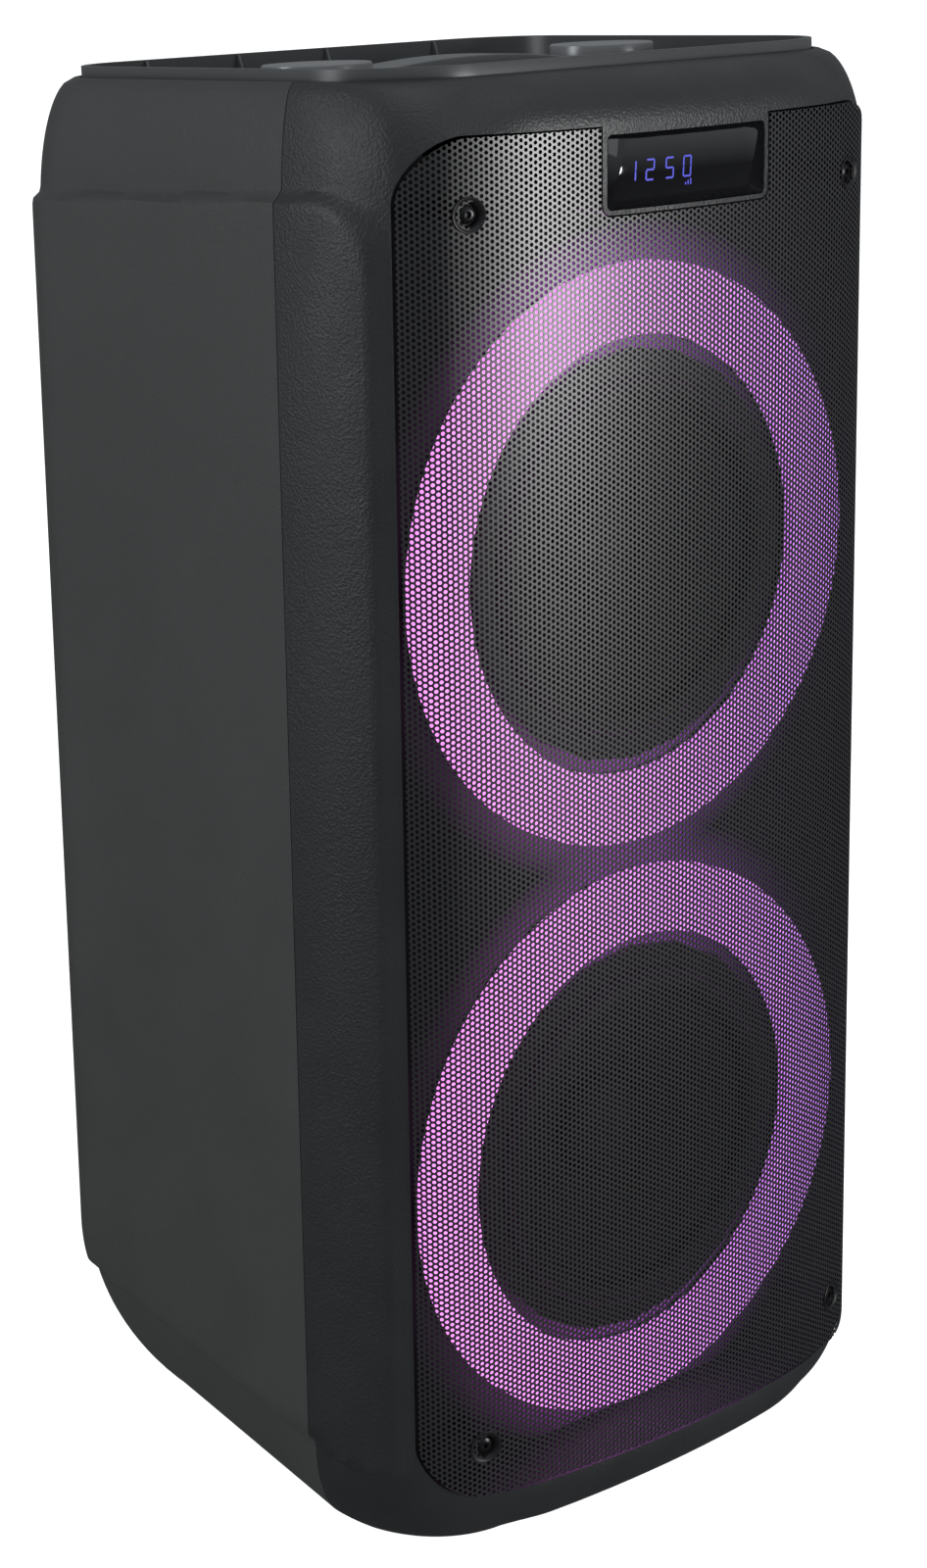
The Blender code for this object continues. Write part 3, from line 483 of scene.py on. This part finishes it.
def past_grille(x, z, grow=0):
    """How far a place is outside the grille's outline, which leaves out the tongue."""
    return max(past(x, z, *grown(grille_sheet_outline, grow)), -past(x, z, *grown(tongue_outline, -grow)))


front_skin = cabinet_skin()
rear_skin = front_skin.copy()
SEAM_GAP = 0.6
for skin, way in ((front_skin, 1), (rear_skin, -1)):
    cut = SEAM - way * SEAM_GAP / 2
    everything = [*skin.verts, *skin.edges, *skin.faces]
    bmesh.ops.bisect_plane(skin, geom=everything, plane_co=(0, cut, 0), plane_no=(0, way, 0), clear_outer=True)
    lip = [edge for edge in skin.edges if all(abs(vert.co.y - cut) < 0.01 for vert in edge.verts) and edge.is_boundary]
    for item in bmesh.ops.extrude_edge_only(skin, edges=lip)["geom"]:
        if isinstance(item, bmesh.types.BMVert):
            item.co.x *= 1 - 4 / HALF_WIDTH
            item.co.z += 4 * (1 if item.co.z < 375 else -1) * (abs(item.co.x) < 150)
    inner = [face for face in skin.faces if len(face.verts) > 30 and face.calc_center_median().z > 600]
    bmesh.ops.delete(skin, geom=inner, context="FACES")
opening(front_skin, grille_cuts(GRILLE_GAP), lambda x, z: past_grille(x, z, GRILLE_GAP), -1, GRILLE_TURN)
lens_outline = grown((lens_low.x, lens_high.x, lens_low.z, lens_high.z, 2.7), WINDOW_GAP)
opening(front_skin, outline_cuts(*lens_outline, 4), lambda x, z: past(x, z, *lens_outline), -1, WINDOW_TURN)
panel_low, panel_high = (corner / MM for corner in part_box("rear_panel"))
panel_outline = grown((panel_low.x, panel_high.x, panel_low.z, panel_high.z, 7.7), PANEL_GAP)
opening(rear_skin, outline_cuts(*panel_outline, 5), lambda x, z: past(x, z, *panel_outline), 1, REAR_TURN)
port_low, port_high = (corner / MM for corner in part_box("port_tube"))
port_outline = grown((port_low.x, port_high.x, port_low.z, port_high.z, port_high.x - 0.01), PORT_GAP)
opening(rear_skin, outline_cuts(*port_outline, 8), lambda x, z: past(x, z, *port_outline), 1, REAR_TURN)
for skin, name, finish, node, slot in (
    (front_skin, "frame_moulded", frame_moulding, "front_frame", "frame_plastic"),
    (rear_skin, "shell_moulded", shell_moulding, "rear_shell", "shell_plastic"),
):
    bmesh.ops.scale(skin, vec=(MM, MM, MM), verts=skin.verts)
    bmesh.ops.translate(skin, vec=(0, front_y, 0), verts=skin.verts)
    fitted(name, skin, finish, stands_for=[node], facet=math.radians(40))


# ---------------------------------------------------------------- Grille
# Sheet steel punched with 2.1 mm holes on a 3 mm pitch, cut to shape through the holes, bent to the bow
# of the front and painted satin black. The holes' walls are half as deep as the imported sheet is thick,
# so that the rings show through at a slant.

PITCH, HOLE, SHEET = 3.0, 1.05, 0.6
COLUMN = PITCH * math.sqrt(3) / 2
grille_half = grille_high.x
grille_foot, grille_top = grille_low.z, grille_high.z


def bow_depth(x):
    """Depth of the front behind its middle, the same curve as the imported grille: a bow, then a roll."""
    x = np.abs(x)
    share = np.minimum(x / BOW_HALF, 1) ** 2
    inner = BOW * share + BOW_STEEPEN * share**3
    sine = np.clip((x - BOW_HALF) / ROLL_RADIUS + math.sin(ROLL_START), 0, 0.999)
    rolled = BOW + BOW_STEEPEN + ROLL_RADIUS * (math.cos(ROLL_START) - np.sqrt(1 - sine**2))
    return np.where(x <= BOW_HALF, inner, rolled)


profile_x = np.linspace(0, grille_half, 1200)
profile_y = bow_depth(profile_x)
profile_run = np.concatenate([[0], np.cumsum(np.hypot(np.diff(profile_x), np.diff(profile_y)))])
profile_turn = np.arctan(np.gradient(profile_y, profile_x))


def tile(mesh, faces, count, step):
    """Repeats these faces at a step, doubling the row each time."""
    rows = [faces]
    made = 1
    while made < count:
        batch = rows[: count - made]
        copied = bmesh.ops.duplicate(mesh, geom=[face for row in batch for face in row])["geom"]
        moved = [item for item in copied if isinstance(item, bmesh.types.BMVert)]
        bmesh.ops.translate(mesh, vec=Vector(step) * made, verts=moved)
        new_faces = [item for item in copied if isinstance(item, bmesh.types.BMFace)]
        size = len(faces)
        rows += [new_faces[i * size : (i + 1) * size] for i in range(len(batch))]
        made += len(batch)
    return [face for row in rows for face in row]


def punched_cell():
    """One hexagon of sheet with its hole and the hole's wall."""
    mesh = bmesh.new()
    outer = bmesh.ops.create_circle(mesh, segments=6, radius=PITCH / math.sqrt(3))["verts"]
    bmesh.ops.rotate(mesh, verts=outer, cent=(0, 0, 0), matrix=Matrix.Rotation(math.pi / 6, 3, "Z"))
    rim = bmesh.ops.create_circle(mesh, segments=8, radius=HOLE)["verts"]
    bmesh.ops.bridge_loops(mesh, edges=mesh.edges[:])
    hole = [edge for edge in mesh.edges if all(vert in rim for vert in edge.verts)]
    wall = bmesh.ops.extrude_edge_only(mesh, edges=hole)["geom"]
    deep = [item for item in wall if isinstance(item, bmesh.types.BMVert)]
    bmesh.ops.translate(mesh, vec=(0, 0, SHEET), verts=deep)
    for face in mesh.faces:
        face.material_index = int(any(vert in deep for vert in face.verts))
    return mesh


screw_places = [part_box(f"grille_screw_{side}_{end}") for side in ("left", "right") for end in ("lower", "upper")]
screw_places = [((low.x + high.x) / 2 / MM, (low.z + high.z) / 2 / MM) for low, high in screw_places]


def punched_strip(first, count):
    """Some columns of the sheet, laid flat, trimmed, then bent to the front's curve."""
    mesh = punched_cell()
    rows = math.ceil((grille_top - grille_foot) / PITCH) + 1
    column = tile(mesh, mesh.faces[:], rows, (0, PITCH, 0))
    pair = bmesh.ops.duplicate(mesh, geom=column)["geom"]
    moved = [item for item in pair if isinstance(item, bmesh.types.BMVert)]
    bmesh.ops.translate(mesh, vec=(COLUMN, PITCH / 2, 0), verts=moved)
    tile(mesh, mesh.faces[:], count // 2, (2 * COLUMN, 0, 0))
    bmesh.ops.remove_doubles(mesh, verts=mesh.verts, dist=0.02)
    for vert in mesh.verts:
        run = vert.co.x + first * COLUMN
        across = math.copysign(np.interp(abs(run), profile_run, profile_x), run)
        if abs(run) > profile_run[-1]:
            across = math.copysign(grille_half + abs(run) - profile_run[-1], run)
        vert.co = (across, vert.co.z, vert.co.y + grille_foot - PITCH / 2)
    score(mesh, grille_cuts(0), 0.2, past_grille)
    unwanted = []
    for face in mesh.faces:
        centre = face.calc_center_median()
        in_cup = any(math.hypot(centre.x - x, centre.z - z) < 6.2 for x, z in screw_places)
        if in_cup or past_grille(centre.x, centre.z) > 0:
            unwanted.append(face)
    bmesh.ops.delete(mesh, geom=unwanted, context="FACES")
    edge = [e for e in mesh.edges if e.is_boundary and all(vert.co.y < 0.1 for vert in e.verts)]
    rim = bmesh.ops.extrude_edge_only(mesh, edges=edge)["geom"]
    deep = [item for item in rim if isinstance(item, bmesh.types.BMVert)]
    bmesh.ops.translate(mesh, vec=(0, SHEET, 0), verts=deep)
    for vert in mesh.verts:
        x, depth, z = vert.co
        turn = math.copysign(np.interp(abs(x), profile_x, profile_turn), x)
        bent = float(bow_depth(x))
        vert.co = (x - math.sin(turn) * depth, bent + math.cos(turn) * depth, z)
    bmesh.ops.scale(mesh, vec=(MM, MM, MM), verts=mesh.verts)
    bmesh.ops.translate(mesh, vec=(0, front_y, 0), verts=mesh.verts)
    bmesh.ops.recalc_face_normals(mesh, faces=mesh.faces)
    return mesh


grille_paint = Finish("grille_paint", (0.014, 0.0145, 0.0155), 0.34, Specular_IOR_Level=0.75)
punched_edge = Finish("punched_edge", (0.008, 0.008, 0.009), 0.6, Specular_IOR_Level=0.1)
LEVELS = ("lower", "upper")
ring_box = {level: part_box(f"led_ring_{level}") for level in LEVELS}
ring_inner = 111.7 * MM
ring_outer = ring_box["upper"][1].x
ring_heights = {level: (ring_box[level][0].z + ring_box[level][1].z) / 2 for level in LEVELS}


def from_ring(finish, level):
    """Distance from a ring's axis, and how far of it is upright, at each point of the surface."""
    centre = (0, 0, ring_heights[level])
    offset = finish.node("ShaderNodeVectorMath", {"operation": "SUBTRACT"}, {0: finish.place(), 1: centre})
    flat = finish.node("ShaderNodeVectorMath", {"operation": "MULTIPLY"}, {0: offset, 1: (1, 0, 1)})
    away = finish.node("ShaderNodeVectorMath", {"operation": "LENGTH"}, {0: flat}, "Value")
    return away, finish.part(flat, "Z") / away


def ring_tint(finish, left, right):
    """The rings' colour, from pink on the left to violet on the right."""
    share = finish.spread(finish.part(finish.place(), "X"), -0.12, 0.14, 0, 1)
    return finish.mixed(share, (*left, 1), (*right, 1))


columns_a_side = math.ceil(profile_run[-1] / COLUMN) + 1
third = 2 * math.ceil(columns_a_side / 6)
for number in range(6):
    first = (number - 3) * third
    strip = punched_strip(first, third)
    sheet = fitted(
        f"grille_sheet_{number + 1}",
        strip,
        grille_paint,
        stands_for=["grille"] if number == 0 else (),
        facet=math.radians(25),
    )
    sheet.data.materials.append(punched_edge.material)


# ---------------------------------------------------------------- Light rings
# A milky acrylic ring round each woofer, lit from behind by LEDs on a circular board. It glows pink on
# one side and violet on the other. The light it spills on the black baffle round it is painted into the baffle's paint
# as a glow.

STEPS = 128


def spun(profile, centre, steps=STEPS, along=(0, 1, 0), closed=True):
    """A profile of (radius, distance along) turned all the way round an axis through the centre."""
    mesh = bmesh.new()
    axis = Vector(along).normalized()
    side = axis.orthogonal().normalized()
    verts = [mesh.verts.new(Vector(centre) + side * radius + axis * reach) for radius, reach in profile]
    pairs = zip(verts, verts[1:] + verts[:1]) if closed else zip(verts, verts[1:])
    edges = [mesh.edges.new(pair) for pair in pairs if (pair[0].co - pair[1].co).length > 1e-7]
    bmesh.ops.spin(
        mesh, geom=verts + edges, axis=axis, cent=centre, angle=math.tau, steps=steps, use_merge=True
    )
    bmesh.ops.remove_doubles(mesh, verts=mesh.verts, dist=0.002 * MM)
    loose = [edge for edge in mesh.edges if not edge.link_faces]
    bmesh.ops.delete(mesh, geom=loose, context="EDGES")
    bmesh.ops.recalc_face_normals(mesh, faces=mesh.faces)
    return mesh


glow = Finish("lit_acrylic", (0.3, 0.25, 0.3), 0.35, Emission_Strength=1.4)
glow.feed("Emission Color", ring_tint(glow, (1.0, 0.27, 1.0), (0.66, 0.21, 1.0)))
for level in LEVELS:
    low, high = ring_box[level]
    soft = 0.6 * MM
    section = [(ring_inner, 0.6 * MM), (ring_inner + soft, 0), (ring_outer - soft, 0), (ring_outer, 0.6 * MM)]
    section += [(ring_outer, high.y - low.y), (ring_inner, high.y - low.y)]
    ring = spun(section, (0, low.y, ring_heights[level]))
    fitted(f"glow_ring_{level}", ring, glow, stands_for=[f"led_ring_{level}"])


# ---------------------------------------------------------------- Baffle
# A board painted black, which carries the woofers and the rings. The rings' spilled and reflected light is painted on
# it as a glow, strongest above and below each ring.

baffle_paint_with_painted_glow = Finish("baffle_paint_with_painted_glow", (0.006, 0.006, 0.007), 0.8, Specular_IOR_Level=0.2, Emission_Strength=1.0)
# Painted light: an emitted glow in the baffle's paint, just outside each ring, strongest above and below it, in the
# rings' tint, near the front only.
painted_glow = None
for level in LEVELS:
    away, steep = from_ring(baffle_paint_with_painted_glow, level)
    near = baffle_paint_with_painted_glow.spread(away, ring_outer, ring_outer + 20 * MM, 1, 0)
    painted_glow_patch = near * (steep * steep) * (steep * steep)
    painted_glow = painted_glow_patch if painted_glow is None else painted_glow + painted_glow_patch
painted_glow = painted_glow * (baffle_paint_with_painted_glow.part(baffle_paint_with_painted_glow.place(), "Y") < front_y + 45 * MM)
painted_glow_tint = ring_tint(baffle_paint_with_painted_glow, (0.30, 0.06, 0.34), (0.22, 0.06, 0.42))
baffle_paint_with_painted_glow.feed("Emission Color", baffle_paint_with_painted_glow.mixed(painted_glow, (0, 0, 0, 1), painted_glow_tint))


def paint(finish, *nodes):
    """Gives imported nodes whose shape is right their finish."""
    for node in nodes:
        materials = frame["nodes"][node].data.materials
        materials.clear()
        materials.append(finish.material)


paint(baffle_paint_with_painted_glow, "baffle")


# ---------------------------------------------------------------- Woofers
# Pressed steel basket, rubber roll surround, pulp cone with a dust cap, ferrite magnet behind.

cone_pulp = Finish("cone_pulp", (0.008, 0.008, 0.009), 0.75, Specular_IOR_Level=0.25)
cone_pulp.emboss(cone_pulp.noise(900, 4), 0.2 * MM, 0.5)
roll_rubber = Finish("roll_rubber", (0.007, 0.007, 0.008), 0.6, Specular_IOR_Level=0.3)
roll_rubber.emboss(roll_rubber.noise(700, 2), 0.05 * MM, 0.3)
pressed_steel = Finish("pressed_steel", (0.02, 0.02, 0.021), 0.4, Metallic=0.5)
pressed_steel.emboss(pressed_steel.noise(500, 3), 0.05 * MM, 0.3)
ferrite = Finish("ferrite", (0.05, 0.05, 0.052), 0.6, Metallic=0.2)
ferrite.emboss(ferrite.noise(900, 4), 0.1 * MM, 0.5)


for level in LEVELS:
    height = ring_heights[level]
    mouth = (0, front_y, height)
    body = f"woofer_cone_{level}"
    section = [(r * MM, d * MM) for r, d in curve(84.8, 39, 6.8, 180, 360, 14)]
    under = [(r * MM, d * MM) for r, d in curve(84.8, 39, 5.6, 360, 180, 14)]
    lips = [(92.3 * MM, 38.4 * MM), (92.3 * MM, 39.6 * MM)]
    inner_lip = [(77.0 * MM, 39.6 * MM), (77.0 * MM, 38.4 * MM)]
    surround = spun(section + lips + under + inner_lip, mouth, 96)
    fitted(f"roll_surround_{level}", surround, roll_rubber, stands_for=[f"woofer_surround_{level}"])
    flare = [(76.5 - 49.5 * t, 38.4 + 33.4 * t - 9.0 * t * (1 - t)) for t in [i / 14 for i in range(15)]]
    thick = [(r, d + 1.2) for r, d in flare]
    cone = [(r * MM, d * MM) for r, d in flare + [(25.8, 71.6), (25.8, 96), (27.0, 96)] + thick[::-1]]
    fitted(f"pulp_cone_{level}", spun(cone, mouth, 96), cone_pulp, body, [body])
    edge_turn = math.radians(88)
    turns = [math.radians(88 * i / 12) for i in range(13)]
    cap = [(26.3 * math.sin(t), 68.6 - 13.0 * (math.cos(t) - math.cos(edge_turn)) / 0.965) for t in turns]
    cap = [(r * MM, d * MM) for r, d in cap] + [(max(r - 0.9, 0) * MM, (d + 0.9) * MM) for r, d in cap[::-1]]
    fitted(f"cap_{level}", spun(cap, mouth, 64), cone_pulp, body, [f"dust_cap_{level}"])

paint(pressed_steel, *[f"woofer_basket_{level}" for level in LEVELS])
paint(ferrite, *[f"woofer_magnet_{level}" for level in LEVELS])


# ---------------------------------------------------------------- Grille screws
# Black button-head socket screws in pressed cups. Each draws the grille to a boss on the baffle.

cup_paint = Finish("cup_paint", (0.006, 0.006, 0.007), 0.45, Specular_IOR_Level=0.35)
cup_paint.emboss(cup_paint.noise(900, 2), 0.04 * MM, 0.4)
black_steel = Finish("black_steel", (0.03, 0.03, 0.032), 0.25, Metallic=0.9)
black_steel.feed("Roughness", black_steel.spread(black_steel.noise(600, 3), 0.3, 0.7, 0.2, 0.4))
for side in ("left", "right"):
    for end in ("lower", "upper"):
        low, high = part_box(f"grille_cup_{side}_{end}")
        x, z = (low.x + high.x) / 2, (low.z + high.z) / 2
        turn = math.copysign(float(np.interp(abs(x) / MM, profile_x, profile_turn)), x)
        axis = (-math.sin(turn), math.cos(turn), 0)
        seat = (x, front_y + float(bow_depth(x / MM)) * MM, z)
        cup = [(2.3, 4.2), (5.9, 4.2), (6.0, 1.6), (7.0, 0.3), (8.5, -0.15), (8.5, -0.45), (8.2, -0.7), (7.5, -0.6)]
        cup += [(6.6, 0.1), (5.9, 1.2), (5.3, 2.6), (4.9, 3.3), (2.3, 3.5)]
        made = spun([(r * MM, d * MM) for r, d in cup], seat, 40, axis)
        fitted(f"screw_cup_{side}_{end}", made, cup_paint, stands_for=[f"grille_cup_{side}_{end}"])
        head = [(0, 3.2), (4.4, 3.2), (4.4, 2.2), (4.0, 1.4), (3.2, 0.9), (2.3, 0.65), (1.75, 0.6), (1.6, 0.75)]
        head += [(1.6, 2.1), (0, 2.3)]
        made = spun([(r * MM, d * MM) for r, d in head], seat, 36, axis)
        screw = f"grille_screw_{side}_{end}"
        fitted(f"screw_head_{side}_{end}", made, black_steel, stands_for=[screw])


# ---------------------------------------------------------------- Display
# A smoked acrylic lens bowed like the front. Seven-segment digits and a level meter shine through it.

smoked = Finish("smoked_acrylic", (0.004, 0.004, 0.005), 0.06, Coat_Weight=0.6, Coat_Roughness=0.03)
smoked.feed("Roughness", smoked.spread(smoked.noise(60, 3), 0.35, 0.75, 0.04, 0.09))
lens_mesh = merged("display_lens")
fitted("smoked_lens", lens_mesh, smoked, stands_for=["display_lens"], facet=math.radians(40))

digit_light = Finish("digit_light", (0.02, 0.02, 0.1), 0.5, Emission_Strength=0.75)
blues = ((0.03, 0.035, 0.60, 1), (0.06, 0.06, 0.80, 1))
digit_light.feed("Emission Color", digit_light.mixed(digit_light.noise(400, 1), *blues))
SEGMENTS = {"0": "abcdef", "1": "bc", "2": "abged", "5": "afgcd"}
DIGIT_WIDE, DIGIT_TALL, STROKE, LEAN = 4.8 * MM, 9.4 * MM, 0.9 * MM, 0.06


def stroke(mesh, x0, z0, x1, z1, width):
    """One lit bar with pointed ends."""
    run = math.hypot(x1 - x0, z1 - z0)
    made = bmesh.ops.create_circle(mesh, cap_ends=True, segments=6, radius=width / math.sqrt(3))["verts"]
    bmesh.ops.rotate(mesh, verts=made, cent=(0, 0, 0), matrix=Matrix.Rotation(math.pi / 6, 3, "Z"))
    for vert in made:
        vert.co.x += math.copysign(run / 2 - width * 0.62, vert.co.x)
        vert.co = (vert.co.x, 0, vert.co.y)
    bmesh.ops.rotate(mesh, verts=made, cent=(0, 0, 0), matrix=Matrix.Rotation(-math.atan2(z1 - z0, x1 - x0), 3, "Y"))
    bmesh.ops.translate(mesh, verts=made, vec=((x0 + x1) / 2, 0, (z0 + z1) / 2))


digits = bmesh.new()
for place, character in zip((-37.5, -26.0, -13.5, -2.0), "1250"):
    left, foot = (place - 2.6) * MM, (lens_low.z + 12.5) * MM
    corner = {
        (i, j): (left + i * DIGIT_WIDE + LEAN * j * DIGIT_TALL / 2, foot + j * DIGIT_TALL / 2)
        for i in (0, 1)
        for j in (0, 1, 2)
    }
    ends = {
        "a": ((0, 2), (1, 2)), "b": ((1, 1), (1, 2)), "c": ((1, 0), (1, 1)), "d": ((0, 0), (1, 0)),
        "e": ((0, 0), (0, 1)), "f": ((0, 1), (0, 2)), "g": ((0, 1), (1, 1)),
    }
    for segment in SEGMENTS[character]:
        start, end = ends[segment]
        stroke(digits, *corner[start], *corner[end], STROKE)
for i in range(3):
    x = (-3.0 + 1.7 * i) * MM
    foot = (lens_low.z + 8.2) * MM
    stroke(digits, x, foot, x, foot + (1.6 + 0.8 * i) * MM, 0.8 * MM)
bmesh.ops.subdivide_edges(digits, edges=digits.edges[:], cuts=1)
for vert in digits.verts:
    vert.co.y = front_y + (float(bow_depth(vert.co.x / MM)) + 0.62) * MM
fitted("display_digits", digits, digit_light)


# ---------------------------------------------------------------- Top tray, handle and dials
# A satin tray let into the top. The carry handle bridges its well, with a big dial on either side.

turn_axis = next(j for j in frame["joints"] if j["name"] == "dial_left_turn")["axis"]
tray_satin = Finish("tray_satin", (0.045, 0.047, 0.048), 0.32)
tray_satin.emboss(tray_satin.noise(1200, 3), 0.08 * MM, 0.4)
handle_satin = Finish("handle_satin", (0.12, 0.125, 0.125), 0.3)
handle_satin.emboss(handle_satin.noise(1000, 3), 0.08 * MM, 0.4)


def eased(node, radius, name, finish, body="cabinet", steps=2):
    """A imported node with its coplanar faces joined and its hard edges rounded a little."""
    mesh = merged(node)
    bmesh.ops.dissolve_limit(mesh, angle_limit=math.radians(0.6), verts=mesh.verts, edges=mesh.edges)
    hard = [edge for edge in mesh.edges if len(edge.link_faces) == 2 and edge.calc_face_angle() > math.radians(35)]
    bmesh.ops.bevel(
        mesh, geom=hard, offset=radius, segments=steps, profile=0.5, affect="EDGES", material=-1, clamp_overlap=True
    )
    return fitted(name, mesh, finish, body, [node])


eased("top_tray", 0.5 * MM, "tray_moulded", tray_satin)
eased("carry_handle", 1.0 * MM, "handle_bar", handle_satin, steps=3)

RIB_TALL, RIB_THICK, RIB_FOOT, RIB_HEAD = 10.0, 1.4, 5.5, 1.5  # gussets on the rim's rear wall
rib_body = bmesh.new()
rim_top, rim_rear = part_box("top_tray")[1].z - 9.5 * MM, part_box("top_tray")[1].y - 3.9 * MM
for x in (97, 137, 20, -40, -100):
    gusset = bmesh.ops.create_grid(rib_body, x_segments=1, y_segments=1, size=0.5)["verts"]
    for vert in gusset:
        up = vert.co.y + 0.5
        depth = (vert.co.x + 0.5) * (RIB_FOOT + (RIB_HEAD - RIB_FOOT) * up)
        vert.co = (x * MM, rim_rear - depth * MM, rim_top - 0.5 * MM + (up - 1) * RIB_TALL * MM)
    faces = list({face for vert in gusset for face in vert.link_faces})
    pushed = bmesh.ops.extrude_face_region(rib_body, geom=faces)["geom"]
    moved = [item for item in pushed if isinstance(item, bmesh.types.BMVert)]
    bmesh.ops.translate(rib_body, vec=(RIB_THICK * MM, 0, 0), verts=moved)
bmesh.ops.recalc_face_normals(rib_body, faces=rib_body.faces)
fitted("tray_ribs", rib_body, handle_satin)

dial_satin = Finish("dial_satin", (0.24, 0.245, 0.25), 0.28, Metallic=0.3)
dial_satin.emboss(dial_satin.noise(900, 3), 0.05 * MM, 0.3)
for side in ("left", "right"):
    low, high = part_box(f"dial_{side}")
    centre = (low + high) / 2
    section = [(0, -3.4), (3.3, -3.4), (3.3, -7.0), (27.0, -7.0), (27.5, -6.4), (27.5, -1.4)]
    section += [(27.2, -0.5), (26.5, -0.05), (25.5, 0), (23.5, -0.1), (21.5, -0.6), (18.0, -1.15)]
    section += [(9.0, -1.5), (0, -1.6)]
    crown = centre + Vector(turn_axis) * (high.z - low.z - 2 * 27.5 * MM * turn_axis[1]) / 2
    dial = spun([(r * MM, d * MM) for r, d in section], crown, 96, turn_axis)
    fitted(f"dial_cap_{side}", dial, dial_satin, f"dial_{side}", [f"dial_{side}"])


# ---------------------------------------------------------------- Buttons
# Five round caps of satin ABS. Each slides in its own hole in the tray, over a tact switch.

button_satin = Finish("button_satin", (0.05, 0.05, 0.05), 0.4)
button_satin.emboss(button_satin.noise(1200, 3), 0.05 * MM, 0.3)
for number in (1, 2, 3, 4, 5):
    eased(f"button_{number}", 0.5 * MM, f"button_cap_{number}", button_satin, f"button_{number}", 3)


# ---------------------------------------------------------------- Circuit boards and encoders
# Green solder mask over glass fibre. Each encoder has a plated case soldered to the control board.

board_green = Finish("board_green", (0.012, 0.05, 0.02), 0.45)
board_green.vary((0.012, 0.05, 0.02), (0.02, 0.075, 0.03), 300, 0.5, 0.52)
nickel = Finish("nickel", (0.6, 0.6, 0.58), 0.3, Metallic=1.0)
nickel.feed("Roughness", nickel.spread(nickel.noise(500, 3), 0.3, 0.7, 0.25, 0.4))
paint(board_green, "display_board", "control_board", "amplifier_board", "led_board_lower", "led_board_upper")
paint(nickel, "encoder_left", "encoder_right")


# ---------------------------------------------------------------- Rear panel and its fittings
# A moulded plate let into the rear shell and held by four screws. Sockets and rocker clip into it.

panel_satin = Finish("panel_satin", (0.02, 0.02, 0.02), 0.5)
panel_satin.emboss(panel_satin.noise(1300, 3), 0.1 * MM, 0.4)
fitting_satin = Finish("fitting_satin", (0.012, 0.012, 0.013), 0.35)
fitting_satin.emboss(fitting_satin.noise(1300, 3), 0.04 * MM, 0.3)
eased("rear_panel", 0.4 * MM, "rear_plate", panel_satin)
eased("usb_socket", 0.15 * MM, "usb_shell", nickel)
eased("mains_inlet", 0.3 * MM, "mains_shroud", fitting_satin)
eased("power_rocker", 0.4 * MM, "rocker_cap", fitting_satin, "power_rocker")
for node in ("jack_socket_1", "jack_socket_2", "aux_socket"):
    eased(node, 0.3 * MM, f"{node}_nut", fitting_satin)
for number in (1, 2, 3, 4):
    low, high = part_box(f"panel_screw_{number}")
    under_head = ((low.x + high.x) / 2, high.y, (low.z + high.z) / 2)
    screw = [(0, -6.2), (1.4, -6.2), (1.4, -1.1), (2.9, -1.1), (2.8, -0.6), (2.2, -0.2), (1.2, 0), (1.0, -0.1)]
    screw += [(0.9, -0.7), (0, -0.9)]
    made = spun([(r * MM, d * MM) for r, d in screw], under_head, 32)
    fitted(f"panel_screw_head_{number}", made, black_steel, stands_for=[f"panel_screw_{number}"])


# ---------------------------------------------------------------- Bass port
# A flared tube pressed into the rear shell from behind.

tube_mouth = (0, front_y, (port_low.z + port_high.z) / 2 * MM)
tube = [(33.0, 200), (36.5, 200), (36.5, 321.5), (44.0, 321.5), (44.0, 322.5), (43.2, 323.0)]
tube += [(41.0, 323.35), (39.0, 323.4), (37.4, 322.8), (36.0, 321.4), (34.8, 319.4), (33.8, 317.0)]
tube += [(33.2, 314.5), (33.0, 312.0)]
made = spun([(r * MM, d * MM) for r, d in tube], tube_mouth, 96)
fitted("flared_tube", made, panel_satin, stands_for=["port_tube"])


# ---------------------------------------------------------------- Feet
# Four moulded rubber feet, each held to the cabinet's floor by a screw in its middle.

foot_rubber = Finish("foot_rubber", (0.013, 0.013, 0.013), 0.75)
foot_rubber.emboss(foot_rubber.noise(900, 3), 0.1 * MM, 0.5)
for end in ("front", "rear"):
    for side in ("left", "right"):
        low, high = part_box(f"foot_{end}_{side}")
        ground = ((low.x + high.x) / 2, (low.y + high.y) / 2, low.z)
        foot = [(0, 1.6), (4.0, 1.6), (4.4, 0.2), (5.0, 0), (13.6, 0), (14.5, 0.4), (15.0, 1.2), (15.0, 8.2), (0, 8.2)]
        made = spun([(r * MM, d * MM) for r, d in foot], ground, 64, (0, 0, 1))
        fitted(f"rubber_foot_{end}_{side}", made, foot_rubber, stands_for=[f"foot_{end}_{side}"])


# ---------------------------------------------------------------- Amplifier, power supply and battery
# An extruded heat sink on the amplifier board, a folded metal case, and cells in shrink wrap.

alloy = Finish("alloy", (0.5, 0.5, 0.52), 0.35, Metallic=0.95)
alloy.emboss(alloy.noise(600, 2), 0.03 * MM, 0.3)
wrap_blue = Finish("wrap_blue", (0.02, 0.05, 0.12), 0.4)
wrap_blue.emboss(wrap_blue.noise(60, 3), 0.4 * MM, 0.3)
eased("heat_sink", 0.3 * MM, "finned_sink", alloy)
eased("power_supply", 1.0 * MM, "supply_case", alloy)
eased("battery_pack", 4.0 * MM, "wrapped_cells", wrap_blue, steps=4)
